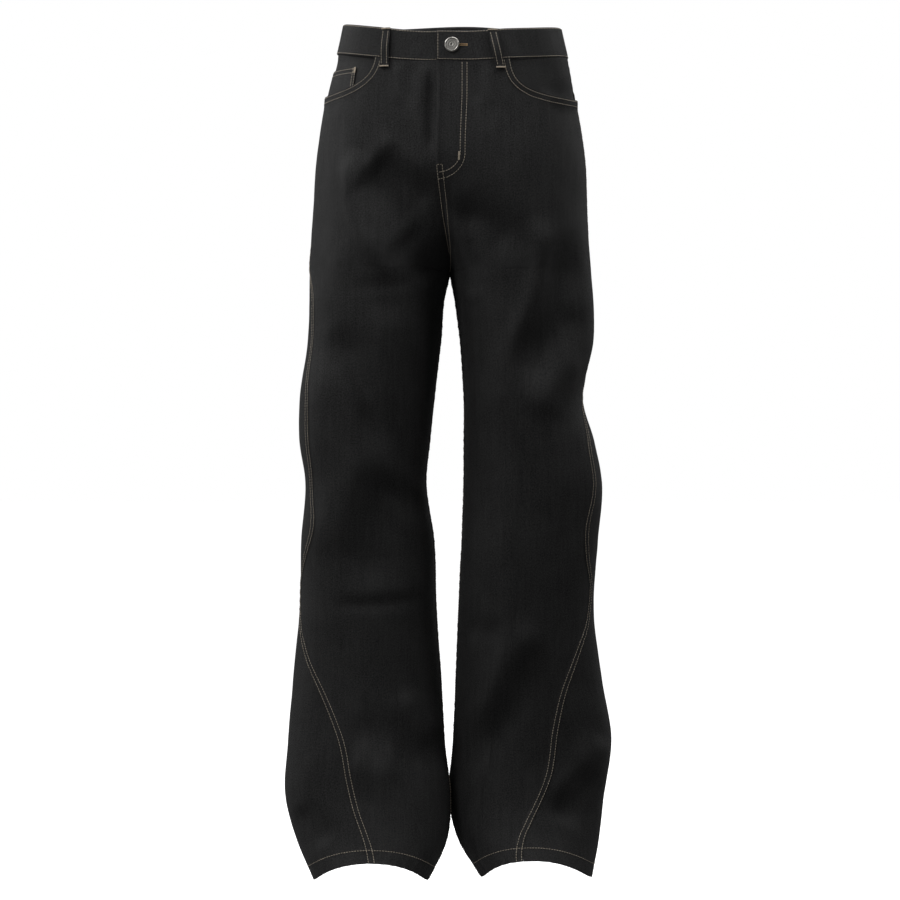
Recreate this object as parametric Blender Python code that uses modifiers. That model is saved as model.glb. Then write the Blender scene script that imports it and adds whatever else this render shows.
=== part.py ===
# Flare jeans, hollow and open as they are worn.
# Metres, +Z up. The front faces -Y and the wearer's right leg is at -X.
# The origin is the middle of the waist opening, half way up the waistband.

import math

import bpy
import numpy as np
from mathutils import Matrix, Vector

COLLECTION = "flare_jeans"
RIGHT = -1
LEFT = 1

# Heights
BAND_HEIGHT = 0.038
WAIST_SEAM_FRONT = -0.033
WAIST_SEAM_BACK = -0.006
WAIST_SEAM_SIDES = {
    RIGHT: {"height": -0.014, "power": 2.0},
    LEFT: {"height": -0.0205, "power": 3.0},
}
FLY_BOTTOM = -0.172
FRONT_CURVE_TOP = -0.130
BACK_CURVE_TOP = -0.060
CROTCH = -0.288
HEM = -1.046
HEM_ARCH_TOP = -0.930
HEM_FRONT_ARCH = 0.029
HEM_BACK_ARCH = 0.010
HEM_FOLD = 0.017
HEM_EASE = 0.003

# Cloth
CLOTH = 0.0012
BAND_CLOTH = 0.0026
HEM_CLOTH = 0.0026
LAYER_GAP = 0.0003
SEAM_TRIM = 0.00015
MIDDLE_GAP = 0.0001
BAND_PROUD = 0.0008

# Each half is a lofted tube. Its section is a squarish ellipse: outer and inner are its reach
# from the middle of the body, front and back its depths, centre the place of its widest depth
# between inner and outer, turn how far the hips are turned, step how far a leg stands forward.
SQUARENESS = 2.2
FLATTEST = 0.999
SECTION_COLUMNS = (
    "height", "right_outer", "right_inner", "left_outer", "left_inner",
    "front", "back", "centre", "turn", "step",
)
SECTIONS = (
    (0.024, 0.133, 0.0, 0.138, 0.0, 0.100, 0.100, 0.26, -7.2, 0.0),
    (-0.021, 0.143, 0.0, 0.148, 0.0, 0.104, 0.104, 0.28, -7.0, 0.0),
    (-0.072, 0.156, 0.0, 0.157, 0.0, 0.112, 0.120, 0.30, -6.3, 0.0),
    (-0.147, 0.168, 0.0, 0.168, 0.0, 0.119, 0.137, 0.37, -6.7, 0.0),
    (-0.222, 0.173, 0.0, 0.172, 0.0, 0.120, 0.138, 0.44, -4.0, 0.0),
    (-0.288, 0.176, 0.0, 0.177, 0.0, 0.118, 0.122, 0.50, 0.0, 0.0),
    (-0.323, 0.176, 0.0075, 0.180, 0.0063, 0.116, 0.112, 0.50, 0.0, 0.0),
    (-0.373, 0.178, 0.0113, 0.180, 0.0126, 0.113, 0.100, 0.50, 0.0, 0.0),
    (-0.448, 0.188, 0.0200, 0.166, 0.0176, 0.109, 0.082, 0.50, 0.0, 0.0),
    (-0.499, 0.188, 0.0250, 0.180, 0.0176, 0.104, 0.070, 0.50, 0.0, 0.0),
    (-0.549, 0.181, 0.0300, 0.190, 0.0176, 0.100, 0.064, 0.50, 0.0, 0.0),
    (-0.624, 0.186, 0.0200, 0.185, 0.0151, 0.094, 0.064, 0.50, 0.0, 0.0),
    (-0.700, 0.188, 0.0176, 0.180, 0.0113, 0.086, 0.072, 0.50, 0.0, 0.0),
    (-0.800, 0.197, 0.0113, 0.191, 0.0075, 0.078, 0.078, 0.50, 0.0, 0.005),
    (-0.875, 0.203, 0.0070, 0.2035, 0.0045, 0.076, 0.078, 0.50, 0.0, 0.012),
    (-0.951, 0.205, -0.0006, 0.193, -0.0006, 0.080, 0.076, 0.50, 0.0, 0.015),
    (-1.001, 0.190, 0.0050, 0.187, 0.0113, 0.094, 0.084, 0.50, 0.0, 0.015),
    (-1.046, 0.170, 0.0276, 0.178, 0.0389, 0.116, 0.092, 0.50, 0.0, 0.015),
)

# The outseam's stitching round each leg: 90 is the front, 180 the side. It swings forward below the
# knee, and the edge of the front panel lies a little way behind it.
FELL_TURN = 3.0
OUTSEAM_COLUMNS = ("height", "right", "left")
OUTSEAM = (
    (0.03, 180.0, 189.0),
    (-0.20, 180.0, 189.0),
    (-0.27, 176.0, 189.0),
    (-0.31, 158.0, 188.0),
    (-0.36, 154.0, 187.0),
    (-0.41, 153.0, 185.0),
    (-0.45, 149.0, 166.0),
    (-0.50, 148.0, 152.0),
    (-0.56, 150.0, 148.0),
    (-0.61, 144.0, 142.0),
    (-0.645, 157.0, 147.0),
    (-0.68, 171.0, 158.0),
    (-0.72, 165.0, 152.0),
    (-0.76, 147.0, 133.0),
    (-0.81, 123.0, 114.0),
    (-0.86, 107.0, 103.0),
    (-0.92, 99.0, 100.0),
    (-0.98, 94.0, 90.0),
    (-1.046, 89.0, 80.0),
)

# The largest folds, each along a curve seen from the front or the back. A negative rise is a trough.
FOLD_COLUMNS = (
    "face", "start_x", "start_z", "bend_x", "bend_z", "end_x", "end_z", "width", "rise",
)
FOLDS = (
    ("front", -0.114, -0.140, -0.112, -0.215, -0.074, -0.310, 0.013, 0.006),
    ("front", -0.096, -0.155, -0.074, -0.192, -0.012, -0.259, 0.020, -0.007),
    ("front", -0.147, -0.360, -0.110, -0.425, -0.093, -0.504, 0.015, -0.005),
    ("front", -0.080, -0.327, -0.080, -0.400, -0.088, -0.499, 0.022, 0.004),
    ("front", -0.096, -0.505, -0.129, -0.572, -0.147, -0.646, 0.018, 0.004),
    ("front", -0.061, -0.536, -0.086, -0.620, -0.086, -0.695, 0.030, -0.005),
    ("front", -0.136, -0.841, -0.068, -0.873, -0.004, -0.911, 0.018, -0.004),
    ("front", -0.192, -0.952, -0.170, -0.974, -0.147, -0.996, 0.015, -0.004),
    ("front", 0.104, -0.222, 0.108, -0.300, 0.058, -0.425, 0.012, 0.006),
    ("front", 0.135, -0.235, 0.135, -0.340, 0.070, -0.418, 0.017, -0.007),
    ("front", 0.173, -0.330, 0.135, -0.382, 0.090, -0.435, 0.016, -0.005),
    ("front", 0.170, -0.388, 0.129, -0.431, 0.110, -0.474, 0.016, 0.004),
    ("front", 0.006, -0.247, 0.037, -0.238, 0.086, -0.283, 0.014, -0.005),
    ("front", 0.110, -0.720, 0.068, -0.781, 0.015, -0.892, 0.016, 0.005),
    ("front", 0.104, -0.744, 0.074, -0.836, 0.007, -0.910, 0.018, -0.005),
    ("front", 0.195, -0.867, 0.166, -0.904, 0.122, -0.959, 0.016, 0.005),
    ("front", 0.184, -0.904, 0.154, -0.941, 0.133, -0.978, 0.015, -0.005),
    ("back", -0.155, -0.255, -0.100, -0.300, -0.030, -0.335, 0.015, -0.005),
    ("back", -0.160, -0.305, -0.110, -0.345, -0.045, -0.375, 0.016, -0.004),
    ("back", 0.150, -0.262, 0.095, -0.297, 0.035, -0.342, 0.015, -0.005),
    ("back", 0.158, -0.318, 0.115, -0.352, 0.050, -0.395, 0.017, -0.004),
    ("back", -0.165, -0.545, -0.105, -0.565, -0.045, -0.540, 0.014, -0.006),
    ("back", -0.165, -0.605, -0.110, -0.590, -0.040, -0.618, 0.015, -0.005),
    ("back", 0.160, -0.530, 0.100, -0.558, 0.035, -0.548, 0.014, -0.006),
    ("back", 0.165, -0.598, 0.110, -0.592, 0.030, -0.612, 0.016, -0.005),
    ("back", -0.050, -0.700, -0.095, -0.765, -0.155, -0.850, 0.018, -0.005),
    ("back", 0.045, -0.715, 0.090, -0.795, 0.150, -0.880, 0.018, -0.005),
    ("back", -0.175, -0.930, -0.100, -0.962, -0.035, -0.945, 0.016, -0.005),
    ("back", 0.040, -0.922, 0.100, -0.952, 0.165, -0.936, 0.016, -0.005),
)
FOLD_STEPS = 16
FOLD_TAPER = 0.28
FOLD_FACING_FROM = 0.15
FOLD_FACING_FULL = 0.55
FOLD_MIDDLE_FADE = 0.030

# Grid of each half. Column 0 is the centre front and inseam, the last one the centre back and inseam.
FRONT_COLUMNS = 12
BACK_COLUMNS = 16
COLUMNS = FRONT_COLUMNS + BACK_COLUMNS
MOUTH_ROW = 3
YOKE_ROW = 3
FLY_ROW = 7
CROTCH_ROW = 14
LEG_ROWS = 28
HEM_FOLD_ROW = CROTCH_ROW + LEG_ROWS + 1
LAST_ROW = HEM_FOLD_ROW + 1
RELAX_ROWS = 6
WALK_STEPS = 61
NORMAL_TURN = 0.5
NORMAL_RISE = 0.001

# Front pocket mouths: start is measured from the centre front along the waist seam.
MOUTH_COLUMN = 6
MOUTH_ROW_SHARES = (0.0, 0.24, 0.60, 1.0)
MOUTH_CORNER = 45.0
MOUTH_CORNER_CELL = (MOUTH_ROW - 1, MOUTH_COLUMN)
MOUTHS = {
    RIGHT: {"start": 0.0774, "depth": 0.0555, "squareness": 2.5},
    LEFT: {"start": 0.0825, "depth": 0.0525, "squareness": 3.2},
}
COIN_TOP_ROW = 1
COIN_COLUMN = 7
FACING_BOTTOM_ROW = 5

# Yoke and back pockets, measured from the centre back
YOKE_CENTRE_DEPTH = 0.078
POCKET_TOP_ROW = 4
POCKET_BOTTOM_ROW = 10
POCKET_FIRST_COLUMN = 16
POCKET_LAST_COLUMN = 24
POCKET_TOP_INSET = 0.048
POCKET_TOP_WIDTH = 0.150
POCKET_BOTTOM_INSET = 0.058
POCKET_BOTTOM_WIDTH = 0.124
POCKET_POINT = 0.022

# Fly and waistband overlap: distances from the centre front, positive to the wearer's left
OVERLAP = -0.004
FLY_LIFT = CLOTH + LAYER_GAP
FLY_LIFT_COLUMNS = 2
FLY_LIFT_ROWS = 2
SHIELD_COLUMNS = 3
UNDERLAP = 0.035
BAND_LIFT_START = -0.040
BAND_LIFT_END = 0.041
LEFT_BAND_LIFT = 0.0014
RIGHT_BAND_DROP = 0.0018

# Tack button
BUTTON_PLACE = 0.0155
BUTTON_RADIUS = 0.0095
BUTTON_NECK = 0.0018
BUTTON_CLEARANCE = 0.0007
BUTTON_THICKNESS = 0.0034
BUTTON_BACK_RADIUS = 0.0048
BUTTON_BACK_THICKNESS = 0.0012
BUTTON_SIDES = 32
SLOT_HALF_LENGTH = 0.0080
SLOT_HALF_HEIGHT = 0.0026
HOLE_HALF = 0.0026
HOLE_CELL = (1, 1)

# Belt loops
LOOP_WIDTH = 0.011
LOOP_CLOTH = 0.0020
LOOP_SEAT = 0.00035
LOOP_FOOT_EASE = 0.00045
LOOP_BOW = 0.0030
LOOP_TOP = 0.0005
LOOP_BELOW_SEAM = 0.0125
LOOP_STEPS = 10
LOOP_COLUMNS = ("name", "side", "from", "top", "bottom")
LOOPS = (
    ("belt_loop_front_right", RIGHT, "front", 0.0664, 0.0687),
    ("belt_loop_front_left", LEFT, "front", 0.0645, 0.0752),
    ("belt_loop_back_right", RIGHT, "back", 0.105, 0.105),
    ("belt_loop_back_left", LEFT, "back", 0.105, 0.105),
    ("belt_loop_centre_back", LEFT, "back", 0.0, 0.0),
)

DENIM = (0.013, 0.013, 0.014, 1.0)
DENIM_ROUGHNESS = 0.85
METAL = (0.32, 0.31, 0.29, 1.0)
METAL_ROUGHNESS = 0.38


def clear_scene():
    for item in list(bpy.data.objects):
        bpy.data.objects.remove(item, do_unlink=True)


def make_collection(name):
    collection = bpy.data.collections.new(name)
    bpy.context.scene.collection.children.link(collection)
    return collection


def make_material(name, colour, roughness, metallic):
    material = bpy.data.materials.new(name)
    material.use_nodes = True
    shader = material.node_tree.nodes["Principled BSDF"]
    shader.inputs["Base Color"].default_value = colour
    shader.inputs["Roughness"].default_value = roughness
    shader.inputs["Metallic"].default_value = metallic
    return material


def ramp(value, start, end):
    """Smooth step from 0 at start to 1 at end."""
    share = np.clip((np.asarray(value, float) - start) / (end - start), 0.0, 1.0)
    return share * share * (3.0 - 2.0 * share)


def read_table(table, columns, name, heights):
    """A column of a table of heights, read along a smooth curve through its rows."""
    rows = np.array(sorted(table))
    level = rows[:, 0]
    value = rows[:, columns.index(name)]
    slope = np.gradient(value, level)
    heights = np.clip(heights, level[0], level[-1])
    row = np.clip(np.searchsorted(level, heights) - 1, 0, len(level) - 2)
    span = level[row + 1] - level[row]
    t = (heights - level[row]) / span
    start = (1.0 + 2.0 * t) * (1.0 - t) ** 2 * value[row] + t * (1.0 - t) ** 2 * span * slope[row]
    end = t * t * (3.0 - 2.0 * t) * value[row + 1] + t * t * (t - 1.0) * span * slope[row + 1]
    return start + end


def side_name(side):
    return "left" if side == LEFT else "right"


# The worn form

def centre_seam_share(heights, top):
    """Share of the half depth at the centre seam: a quarter ellipse from its top to the crotch."""
    drop = np.clip((top - heights) / (top - CROTCH), 0.0, 1.0)
    return np.minimum(np.sqrt(1.0 - drop ** 2), FLATTEST)


def section_angle(angle, heights):
    """Angle round the section for an angle round the garment, which starts at the centre seam."""
    power = 2.0 / SQUARENESS
    front = np.degrees(np.arcsin(centre_seam_share(heights, FRONT_CURVE_TOP) ** (1.0 / power)))
    back = np.degrees(np.arcsin(centre_seam_share(heights, BACK_CURVE_TOP) ** (1.0 / power)))
    from_front = front + angle * (90.0 - front) / 90.0
    to_back = 270.0 + (angle - 270.0) * (90.0 - back) / 90.0
    return np.where(angle < 90.0, from_front, np.where(angle > 270.0, to_back, angle))


def section_point(side, angle, heights):
    """Point of the form at an angle round its section, folds left out."""
    power = 2.0 / SQUARENESS
    name = side_name(side)

    def column(title):
        return read_table(SECTIONS, SECTION_COLUMNS, title, heights)

    outer = column(name + "_outer")
    inner = np.where(heights < CROTCH, column(name + "_inner"), 0.0)
    front = column("front")
    back = column("back")
    middle = inner + column("centre") * (outer - inner)
    cosine = np.cos(np.radians(angle))
    sine = np.sin(np.radians(angle))
    curve_top = np.where(sine > 0.0, FRONT_CURVE_TOP, BACK_CURVE_TOP)
    share = centre_seam_share(heights, curve_top)
    inner_reach = (middle - inner) / (1.0 - share ** (2.0 / power)) ** (power / 2.0)
    reach = np.where(cosine > 0.0, -inner_reach, outer - middle)
    x = middle + reach * np.abs(cosine) ** power
    y = 0.5 * (back - front) - 0.5 * (front + back) * np.sign(sine) * np.abs(sine) ** power
    x = side * (x + MIDDLE_GAP)
    turn = np.radians(column("turn"))
    turned_x = x * np.cos(turn) - y * np.sin(turn)
    turned_y = x * np.sin(turn) + y * np.cos(turn) + side * column("step")
    return np.stack([turned_x, turned_y, heights + 0.0 * turned_x], axis=-1)


def unit(vectors):
    return vectors / np.linalg.norm(vectors, axis=-1, keepdims=True)


def section_normal(side, angle, heights):
    """Outward direction of the form at an angle round its section."""

    def difference(turn, rise):
        ahead = section_point(side, angle + turn, heights + rise)
        return ahead - section_point(side, angle - turn, heights - rise)

    across = difference(NORMAL_TURN, 0.0)
    up = difference(0.0, NORMAL_RISE)
    return unit(side * np.cross(across, up))


def fold_offset(points, normals):
    """How far the folds move each point along its normal."""
    offset = np.zeros(points.shape[:-1])
    flat = points[..., (0, 2)]
    for row in FOLDS:
        fold = dict(zip(FOLD_COLUMNS, row))
        start = np.array([fold["start_x"], fold["start_z"]])
        bend = np.array([fold["bend_x"], fold["bend_z"]])
        end = np.array([fold["end_x"], fold["end_z"]])
        pull = 2.0 * bend - 0.5 * (start + end)
        nearest = np.full(offset.shape, np.inf)
        along = np.zeros(offset.shape)
        for step in range(FOLD_STEPS + 1):
            t = step / FOLD_STEPS
            place = (1.0 - t) ** 2 * start + 2.0 * t * (1.0 - t) * pull + t * t * end
            away = np.linalg.norm(flat - place, axis=-1)
            along = np.where(away < nearest, t, along)
            nearest = np.minimum(nearest, away)
        taper = ramp(along, 0.0, FOLD_TAPER) * ramp(1.0 - along, 0.0, FOLD_TAPER)
        facing = -normals[..., 1] if fold["face"] == "front" else normals[..., 1]
        shown = ramp(facing, FOLD_FACING_FROM, FOLD_FACING_FULL)
        offset += fold["rise"] * np.exp(-0.5 * (nearest / fold["width"]) ** 2) * taper * shown
    return offset


def worn_form(side, angle, heights):
    """Points of the outer cloth face and the directions that stand square to it."""
    turned = section_angle(angle, heights)
    points = section_point(side, turned, heights)
    normals = section_normal(side, turned, heights)
    moved = normals * fold_offset(points, normals)[..., None]
    near_middle = ramp(np.abs(points[..., 0]), 0.0, FOLD_MIDDLE_FADE)
    moved[..., 0] *= np.where(heights > CROTCH, near_middle, 1.0)
    return points + moved, normals


def walk(side, heights, first, last):
    """Angles and lengths in even steps round a section, from the first angle to the last."""
    steps = np.linspace(0.0, 1.0, WALK_STEPS)
    angles = first[..., None] + (last - first)[..., None] * steps
    levels = heights[..., None] + 0.0 * angles
    points = section_point(side, section_angle(angles, levels), levels)
    pieces = np.linalg.norm(np.diff(points, axis=-2), axis=-1)
    lengths = np.concatenate([np.zeros(pieces.shape[:-1] + (1,)), np.cumsum(pieces, axis=-1)], axis=-1)
    return angles, lengths


def angle_at_share(side, share, heights, first, last):
    """Angle at a share of the length round the section, from the first angle to the last."""
    share, heights, first, last = np.broadcast_arrays(share, heights, first, last)
    angles, lengths = walk(side, heights, first, last)
    found = np.empty(share.shape)
    for spot in np.ndindex(share.shape):
        found[spot] = np.interp(share[spot] * lengths[spot][-1], lengths[spot], angles[spot])
    return found


def outseam_angle(side, heights):
    return read_table(OUTSEAM, OUTSEAM_COLUMNS, side_name(side), heights) + FELL_TURN


def front_length(side, height):
    level = np.array([height])
    return walk(side, level, np.zeros(1), outseam_angle(side, level))[1][0, -1]


def back_length(side, height):
    level = np.array([height])
    return walk(side, level, outseam_angle(side, level), np.full(1, 360.0))[1][0, -1]


# The grid of rows and columns that every panel shares

def front_fall(side, share):
    """How far a row has fallen towards the centre front: 1 there, 0 at the outseam."""
    return 1.0 - np.sin(0.5 * math.pi * share) ** WAIST_SEAM_SIDES[side]["power"]


def seam_height(side, share=1.0, back_share=0.0):
    """Height of the waist seam: it dips to the centre front and rises to the centre back."""
    height = WAIST_SEAM_SIDES[side]["height"]
    dip = (WAIST_SEAM_FRONT - height) * front_fall(side, share)
    rise = (WAIST_SEAM_BACK - height) * np.sin(0.5 * math.pi * back_share) ** 2
    return height + dip + rise


def even_heights(angle, first, last, steps):
    """Heights that part the centre seam, which both halves share, into even lengths."""
    turn = np.linspace(0.0, 1.0, 200)
    levels = first + (last - first) * np.sin(0.5 * math.pi * turn)
    angles = np.full(levels.shape, angle)
    points = section_point(LEFT, section_angle(angles, levels), levels)
    pieces = np.linalg.norm(np.diff(points, axis=0), axis=1)
    lengths = np.concatenate([[0.0], np.cumsum(pieces)])
    return np.interp(np.linspace(0.0, lengths[-1], steps + 1), lengths, levels)


def row_heights(side):
    """Heights of the rows at the centre front, the outseam and the centre back, down to the crotch."""
    front_fly = np.linspace(WAIST_SEAM_FRONT, FLY_BOTTOM, FLY_ROW + 1)
    front_low = even_heights(0.0, FLY_BOTTOM, CROTCH, CROTCH_ROW - FLY_ROW)
    front = np.concatenate([front_fly, front_low[1:]])
    back_yoke = np.linspace(WAIST_SEAM_BACK, WAIST_SEAM_BACK - YOKE_CENTRE_DEPTH, YOKE_ROW + 1)
    back_low = even_heights(360.0, back_yoke[-1], CROTCH, CROTCH_ROW - YOKE_ROW)
    back = np.concatenate([back_yoke, back_low[1:]])
    mouth = seam_height(side) - MOUTHS[side]["depth"] * np.array(MOUTH_ROW_SHARES)
    outseam = np.concatenate([mouth, np.linspace(mouth[-1], CROTCH, CROTCH_ROW - MOUTH_ROW + 1)[1:]])
    return front, outseam, back


def mouth_places(side, turn):
    """Distance from the centre front and depth below the waist seam along the pocket mouth."""
    mouth = MOUTHS[side]
    power = 2.0 / mouth["squareness"]
    full = front_length(side, seam_height(side))
    place = full - (full - mouth["start"]) * np.cos(np.radians(turn)) ** power
    return place / full, mouth["depth"] * np.sin(np.radians(turn)) ** power


def warp_mouth(side, share, level):
    """Bends the front's columns and rows on to the pocket mouth, and eases back below it."""
    before = np.arange(MOUTH_COLUMN + 1)
    after = np.arange(MOUTH_COLUMN, FRONT_COLUMNS + 1)
    steep_share, steep_depth = mouth_places(side, MOUTH_CORNER * np.array(MOUTH_ROW_SHARES))
    flat_turn = MOUTH_CORNER + (90.0 - MOUTH_CORNER) * (after - MOUTH_COLUMN) / (FRONT_COLUMNS - MOUTH_COLUMN)
    flat_share, flat_depth = mouth_places(side, flat_turn)
    top_share = np.linspace(steep_share[0], 1.0, len(after))
    new_share = share.copy()
    new_level = level.copy()
    for row in range(MOUTH_ROW + 1):
        part = MOUTH_ROW_SHARES[row]
        across = (1.0 - part) * top_share + part * flat_share
        across[0] = steep_share[row]
        depth = part * flat_depth
        depth[0] = steep_depth[row]
        new_share[row, after] = across
        new_level[row, after] = seam_height(side, across) - depth
        new_share[row, before] = steep_share[row] * before / MOUTH_COLUMN
        corner_shift = new_level[row, MOUTH_COLUMN] - level[row, MOUTH_COLUMN]
        new_level[row, before] = level[row, before] + corner_shift * before / MOUTH_COLUMN
    for row in range(MOUTH_ROW + 1, MOUTH_ROW + RELAX_ROWS):
        left_over = 1.0 - ramp(row, MOUTH_ROW, MOUTH_ROW + RELAX_ROWS)
        new_share[row] += left_over * (new_share[MOUTH_ROW] - share[MOUTH_ROW])
        new_level[row] += left_over * (new_level[MOUTH_ROW] - level[MOUTH_ROW])
    return new_share, new_level


def warp_pocket(side, share, level):
    """Bends the back's columns and rows on to the edges of the back pocket."""
    first = POCKET_FIRST_COLUMN - FRONT_COLUMNS
    last = POCKET_LAST_COLUMN - FRONT_COLUMNS
    columns = np.arange(BACK_COLUMNS + 1)
    tent = np.clip(1.0 - np.abs(2.0 * (columns - first) / (last - first) - 1.0), 0.0, 1.0)
    pocket_rows = POCKET_BOTTOM_ROW - POCKET_TOP_ROW
    new_share = share.copy()
    new_level = level.copy()
    for row in range(1, POCKET_BOTTOM_ROW + RELAX_ROWS):
        down = np.clip((row - POCKET_TOP_ROW) / pocket_rows, 0.0, 1.0)
        inset = POCKET_TOP_INSET + down * (POCKET_BOTTOM_INSET - POCKET_TOP_INSET)
        width = POCKET_TOP_WIDTH + down * (POCKET_BOTTOM_WIDTH - POCKET_TOP_WIDTH)
        length = back_length(side, level[row, first])
        pinned = np.interp(columns, [0, first, last, BACK_COLUMNS], [
            0.0, 1.0 - (inset + width) / length, 1.0 - inset / length, 1.0])
        above = min(1.0, row / YOKE_ROW)
        below = 1.0 - ramp(row, POCKET_BOTTOM_ROW, POCKET_BOTTOM_ROW + RELAX_ROWS)
        new_share[row] += above * below * (pinned - share[row])
        new_level[row] -= POCKET_POINT * tent * down * below
    return new_share, new_level


def half_grid(side):
    """Points and normals of one half, by row and column, with each row's share round the half."""
    front_rows, outseam_rows, back_rows = row_heights(side)
    front_share = np.tile(np.linspace(0.0, 1.0, FRONT_COLUMNS + 1), (LAST_ROW + 1, 1))
    back_share = np.tile(np.linspace(0.0, 1.0, BACK_COLUMNS + 1), (LAST_ROW + 1, 1))
    leg_end = HEM + HEM_FOLD + HEM_EASE
    leg_rows = np.linspace(CROTCH, leg_end, LEG_ROWS + 1)[1:]
    low = np.concatenate([leg_rows, [HEM + HEM_FOLD, HEM]])
    front_level = np.empty(front_share.shape)
    back_level = np.empty(back_share.shape)
    for row in range(CROTCH_ROW + 1):
        fall = front_fall(side, front_share[row])
        front_level[row] = outseam_rows[row] + (front_rows[row] - outseam_rows[row]) * fall
        slant = back_share[row] if row >= YOKE_ROW else np.sin(0.5 * math.pi * back_share[row]) ** 2
        back_level[row] = outseam_rows[row] + (back_rows[row] - outseam_rows[row]) * slant
    front_level[CROTCH_ROW + 1:] = low[:, None]
    back_level[CROTCH_ROW + 1:] = low[:, None]
    front_share, front_level = warp_mouth(side, front_share, front_level)
    back_share, back_level = warp_pocket(side, back_share, back_level)
    front_end = outseam_angle(side, front_level)
    front_angle = angle_at_share(side, front_share, front_level, 0.0 * front_end, front_end)
    back_start = outseam_angle(side, back_level)
    back_angle = angle_at_share(side, back_share, back_level, back_start, 0.0 * back_start + 360.0)
    angle = np.concatenate([front_angle, back_angle[:, 1:]], axis=1)
    level = np.concatenate([front_level, back_level[:, 1:]], axis=1)
    sine = np.sin(np.radians(angle))
    arch = np.where(sine > 0.0, HEM_FRONT_ARCH, HEM_BACK_ARCH) * sine ** 2
    level = level + arch * ramp(-level, -HEM_ARCH_TOP, -HEM)
    points, normals = worn_form(side, angle, level)
    return {"side": side, "angle": angle, "points": points, "normals": normals}


def waist_place(distance, height):
    """Point and normal on the form at a distance from the centre front along the waist."""
    side = LEFT if distance >= 0.0 else RIGHT
    level = np.array([height])
    share = abs(distance) / front_length(side, height)
    angle = angle_at_share(side, np.array([share]), level, np.zeros(1), outseam_angle(side, level))
    points, normals = worn_form(side, angle, level)
    return points[0], normals[0]


# Solids

def link_mesh(name, vertices, faces, material, collection):
    mesh = bpy.data.meshes.new(name)
    mesh.from_pydata([tuple(point) for point in vertices], [], faces)
    mesh.materials.append(material)
    mesh.shade_smooth()
    mesh.set_sharp_from_angle(angle=math.radians(50.0))
    item = bpy.data.objects.new(name, mesh)
    collection.objects.link(item)
    return item


def cell_triangles(cells, flipped, tips):
    """Triangles of the chosen grid cells, seen from outside on the left half."""
    triangles = []
    for row, column in cells:
        top_a, top_b = (row, column), (row, column + 1)
        low_a, low_b = (row + 1, column), (row + 1, column + 1)
        if (row, column) in flipped:
            triangles += [(top_a, low_a, top_b), (top_b, low_a, low_b)]
        else:
            triangles += [(top_a, low_a, low_b), (top_a, low_b, top_b)]
    return triangles + list(tips)


def cloth_solid(name, grid, cells, lift, thickness, collection, flipped=(), tips=()):
    """A wall of cloth on the chosen cells. Its outer face stands `lift` out from the form."""
    triangles = cell_triangles(cells, flipped, tips)
    if grid["side"] == RIGHT:
        triangles = [(a, c, b) for a, b, c in triangles]
    spots = sorted({spot for triangle in triangles for spot in triangle})
    number = {spot: place for place, spot in enumerate(spots)}
    points = {spot: grid["points"][spot] for spot in spots}
    normals = {spot: grid["normals"][spot] for spot in spots}
    edges = {(t[k], t[(k + 1) % 3]) for t in triangles for k in range(3)}
    border = [edge for edge in edges if (edge[1], edge[0]) not in edges]
    inward = {}
    for start, end in sorted(border):
        along = points[end] - points[start]
        for spot in (start, end):
            inward.setdefault(spot, []).append(unit(np.cross(normals[spot], along)))
    shape = grid["points"].shape[:2]
    lift = np.broadcast_to(lift, shape)
    thickness = np.broadcast_to(thickness, shape)
    outer = []
    inner = []
    for spot in spots:
        trim = np.zeros(3)
        if spot in inward:
            first, second = inward[spot][0], inward[spot][-1]
            trim = SEAM_TRIM * (first + second) / (1.0 + max(float(np.dot(first, second)), -0.5))
        base = points[spot] + trim + normals[spot] * lift[spot]
        outer.append(base)
        inner.append(base - normals[spot] * thickness[spot])
    count = len(spots)
    faces = [tuple(number[spot] for spot in triangle) for triangle in triangles]
    faces += [tuple(number[spot] + count for spot in reversed(triangle)) for triangle in triangles]
    for start, end in sorted(border):
        a, b = number[start], number[end]
        faces += [(b, a, a + count), (b, a + count, b + count)]
    denim = make_material(name + "_denim", DENIM, DENIM_ROUGHNESS, 0.0)
    return link_mesh(name, outer + inner, faces, denim, collection)


def block(first_row, last_row, first_column, last_column):
    """Grid cells between two rows and two columns."""
    return [(r, c) for r in range(first_row, last_row) for c in range(first_column, last_column)]


def hem_thickness():
    thickness = np.full((LAST_ROW + 1, 1), CLOTH)
    thickness[HEM_FOLD_ROW:] = HEM_CLOTH
    return thickness


def make_front(side, grid, other, collection):
    """A front panel, cut away at its pocket mouth. The left one also laps over the centre front."""
    cells = set(block(0, LAST_ROW, 0, FRONT_COLUMNS))
    cells -= set(block(0, MOUTH_ROW, MOUTH_COLUMN, FRONT_COLUMNS))
    name = "front_" + side_name(side)
    if side == RIGHT:
        return cloth_solid(name, grid, sorted(cells), 0.0, hem_thickness(), collection)
    lapped = lap_grid(grid, other)
    cells = {(row, column + 1) for row, column in cells} | set(block(0, FLY_ROW - 1, 0, 1))
    tip = ((FLY_ROW - 1, 0), (FLY_ROW, 1), (FLY_ROW - 1, 1))
    from_edge = np.clip(np.arange(COLUMNS + 2) - 1, 0, None)[None, :]
    from_tip = np.clip(np.arange(LAST_ROW + 1) - FLY_ROW, 0, None)[:, None]
    across = np.clip(1.0 - from_edge / FLY_LIFT_COLUMNS, 0.0, 1.0)
    down = np.clip(1.0 - from_tip / FLY_LIFT_ROWS, 0.0, 1.0)
    lift = FLY_LIFT * across * down
    return cloth_solid(name, lapped, sorted(cells), lift, hem_thickness(), collection, tips=[tip])


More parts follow.
